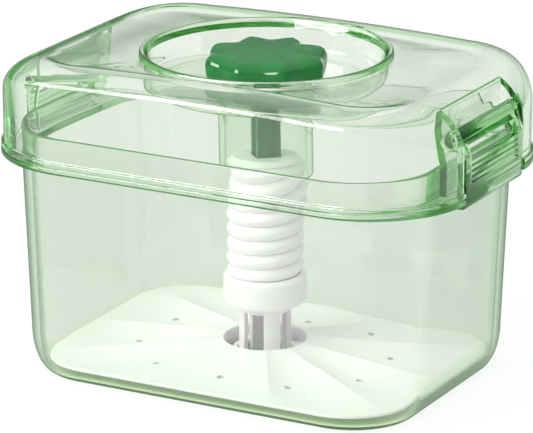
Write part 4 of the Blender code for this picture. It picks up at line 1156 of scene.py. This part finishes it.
def make_press_plate():
    """Fluted plate with its hub, drain holes and the ring for the plunger's feet."""
    places = plate_directions()

    def polar(radii, heights):
        return [Vector((radius * math.cos(angle), radius * math.sin(angle), height))
                for (angle, across), radius, height in zip(places, radii, heights)]

    def edge(inset, height):
        radii = [plate_reach(angle, *drawn_in(PLATE_SIZES, inset)) for angle, across in places]
        return polar(radii, [height] * len(places))

    def level(share, drop):
        radii, heights = [], []
        for angle, across in places:
            reach = plate_reach(angle, *PLATE_SIZES)
            flute = FLUTE_DEPTH * math.sin(math.pi * across) ** FLUTE_POWER * math.sin(math.pi * share)
            height = HUB_TOP + (PLATE_RIM_TOP - HUB_TOP) * share - flute - drop
            radii.append(HUB_HOLE_RADIUS + (reach - HUB_HOLE_RADIUS) * share)
            heights.append(max(height, PLATE_BOTTOM if drop else PLATE_BOTTOM + PLATE_THIN))
        return polar(radii, heights)

    def hub(radius, height):
        return polar([radius] * len(places), [height] * len(places))

    ring_bottom = LEG_BOTTOM + FOOT_THICKNESS + SEAT_GAP
    shares = [step / PLATE_RINGS for step in range(1, PLATE_RINGS)]
    levels = [hub(HUB_HOLE_RADIUS, HUB_TOP - HUB_ROUND),
              hub(HUB_HOLE_RADIUS + HUB_ROUND / 3, HUB_TOP - HUB_ROUND / 3),
              hub(HUB_HOLE_RADIUS + HUB_ROUND, HUB_TOP)]
    levels += [level(share, 0) for share in shares]
    for fall, rise in quarter_round(PLATE_TOP_STEPS):
        levels.append(edge(PLATE_TOP_ROUND * (1 - rise), PLATE_RIM_TOP - PLATE_TOP_ROUND * fall))
    for fall, rise in quarter_round(PLATE_EDGE_STEPS):
        levels.append(edge(PLATE_EDGE_ROUND * fall, PLATE_RIM_BOTTOM + PLATE_EDGE_ROUND * (1 - rise)))
    under = shares[PLATE_RINGS_SKIPPED:-PLATE_RINGS_SKIPPED]
    levels += [level(share, PLATE_THICKNESS) for share in reversed(under)]
    levels += [hub(HUB_HOLE_RADIUS + HUB_WALL, HUB_TOP - PLATE_THICKNESS),
               hub(HUB_HOLE_RADIUS + HUB_WALL, ring_bottom), hub(HUB_HOLE_RADIUS, ring_bottom)]
    plate = loft("press_plate_white", levels, capped=False)
    ring_top = ring_bottom + HUB_RING_THICKNESS
    bore = PLUNGER_RADIUS + RUN_GAP
    rows = [(bore, ring_bottom), (bore + HUB_RING_WALL, ring_bottom), (bore + HUB_RING_WALL, ring_top),
            (bore, ring_top)]
    join(plate, turned("hub_ring", soften(rows, PLUNGER_SOFT, closed=True)))
    for index in range(LEG_COUNT):
        spoke = block("spoke", (bore + HUB_RING_WALL / 2, -SPOKE_WIDTH / 2, ring_bottom + SEAT_GAP),
                      (HUB_HOLE_RADIUS + HUB_WALL / 2, SPOKE_WIDTH / 2, ring_top - SEAT_GAP))
        spoke.rotation_euler.z = leg_turn(index)
        join(plate, spoke)
    spots = {(sign_x * PLATE_SIZES[0] * share_x, sign_y * PLATE_SIZES[1] * share_y)
             for share_x, share_y in zip(DRAIN_X_SHARES, DRAIN_Y_SHARES)
             for sign_x in (1, -1) for sign_y in (1, -1)}
    rows = [(DRAIN_RADIUS, PLATE_BOTTOM - OVERRUN), (DRAIN_RADIUS, HUB_TOP + OVERRUN)]
    for x, y in sorted(spots):
        drain = turned("drain", rows, capped=True, steps=DRAIN_STEPS)
        drain.location = (x, y, 0)
        cut(plate, drain)
    return plate


keep(make_press_plate(), "press_plate", "press_plate", white)

# %% [markdown]
# ## Stage and light
# The press stands on a white sweep, as in a catalogue. The floor shows pure white to the camera and
# through the clear walls, and keeps a faint shadow. Lamps do two separate jobs here. One soft box lights
# only the matt parts. Two others show only as shine: a high one on the lid's curves, and a wide one in
# front that draws the bright band along the hood's shoulder. The surround lights matt parts more from
# above than from the sides, which brings out the plate's flutes and the thread, and in reflections it is
# darker near the horizon, so that clear edges stand out.

# %% Stage and light
FLOOR_SIZE = 6.0
FLOOR_GREY = (0.75, 0.75, 0.75, 1)
FLOOR_ROUGHNESS = 0.9
FILL_RANGE = (0.4, 1.5)
HORIZON_SHINE = 0.22
SHADOW_SHARE = 0.16
HIGH_LAMP_PLACE = (-0.5, -0.85, 0.95)
FRONT_LAMP_PLACE = (-0.56, -1.05, 0.5)
GLASS_BOUNCES = 80
TRANSPARENT_BOUNCES = 40


def make_floor():
    """White floor that keeps a soft shadow."""
    bm = bmesh.new()
    bmesh.ops.create_grid(bm, x_segments=1, y_segments=1, size=FLOOR_SIZE / 2)
    floor = add_piece("floor", bm)
    floor.location.z = -SEAT_GAP
    material, shader, output, nodes, links = new_material("white_sweep")
    set_inputs(shader, {"Base Color": FLOOR_GREY, "Roughness": FLOOR_ROUGHNESS})
    glow = add_node(nodes, 'ShaderNodeEmission', {"Strength": 1.0})
    path = nodes.new('ShaderNodeLightPath')
    seen = largest(nodes, links, path.outputs["Is Camera Ray"], path.outputs["Is Glossy Ray"],
                   path.outputs["Is Transmission Ray"])
    share = math_node(nodes, links, 'MULTIPLY', seen, 1 - SHADOW_SHARE)
    mix = mix_shaders(nodes, links, share, shader.outputs[0], glow.outputs[0])
    links.new(mix, output.inputs["Surface"])
    floor.data.materials.append(material)


def make_world():
    """Surround that shows white, with its own light for matt parts and for reflections."""
    world = bpy.data.worlds.new("studio")
    world.use_nodes = True
    nodes, links = world.node_tree.nodes, world.node_tree.links
    ground = nodes["Background"]
    ground.inputs["Color"].default_value = (1, 1, 1, 1)
    path = nodes.new('ShaderNodeLightPath')
    direction = nodes.new('ShaderNodeTexCoord')
    split = nodes.new('ShaderNodeSeparateXYZ')
    links.new(direction.outputs["Generated"], split.inputs[0])
    height = add_node(nodes, 'ShaderNodeMapRange', {"To Min": HORIZON_SHINE})
    height.interpolation_type = 'SMOOTHSTEP'
    links.new(split.outputs["Z"], height.inputs["Value"])
    fill = add_node(nodes, 'ShaderNodeMapRange', {"To Min": FILL_RANGE[0], "To Max": FILL_RANGE[1]})
    links.new(split.outputs["Z"], fill.inputs["Value"])
    light = nodes.new('ShaderNodeMix')
    links.new(path.outputs["Is Glossy Ray"], light.inputs["Factor"])
    links.new(fill.outputs[0], light.inputs["A"])
    links.new(height.outputs[0], light.inputs["B"])
    strength = largest(nodes, links, path.outputs["Is Camera Ray"], path.outputs["Is Transmission Ray"],
                       light.outputs[0])
    links.new(strength, ground.inputs["Strength"])
    bpy.context.scene.world = world


def soft_box(name, place, aim, size, power, matt):
    """A rectangular lamp aimed at a point. It lights matt parts, or it shows only as shine."""
    data = bpy.data.lights.new(name, 'AREA')
    data.shape = 'RECTANGLE'
    data.size, data.size_y = size
    data.energy = power
    lamp = bpy.data.objects.new(name, data)
    lamp.location = place
    lamp.rotation_euler = (Vector(aim) - Vector(place)).to_track_quat('-Z', 'Y').to_euler()
    lamp.visible_diffuse = matt
    lamp.visible_glossy = not matt
    lamp.visible_transmission = False
    bpy.context.scene.collection.objects.link(lamp)


make_floor()
make_world()
soft_box("key_soft_box", HIGH_LAMP_PLACE, aim=(0, 0, 0.1), size=(1.2, 1.1), power=15.0, matt=True)
soft_box("high_shine", HIGH_LAMP_PLACE, aim=(0, 0, 0.1), size=(1.1, 0.9), power=14.0, matt=False)
soft_box("front_shine", FRONT_LAMP_PLACE, aim=(0, 0, 0.12), size=(1.4, 0.9), power=48.0, matt=False)
scene = bpy.context.scene
scene.view_settings.view_transform = 'Standard'
scene.cycles.max_bounces = GLASS_BOUNCES
scene.cycles.glossy_bounces = GLASS_BOUNCES
scene.cycles.transmission_bounces = GLASS_BOUNCES
scene.cycles.transparent_max_bounces = TRANSPARENT_BOUNCES
print("stage is set")
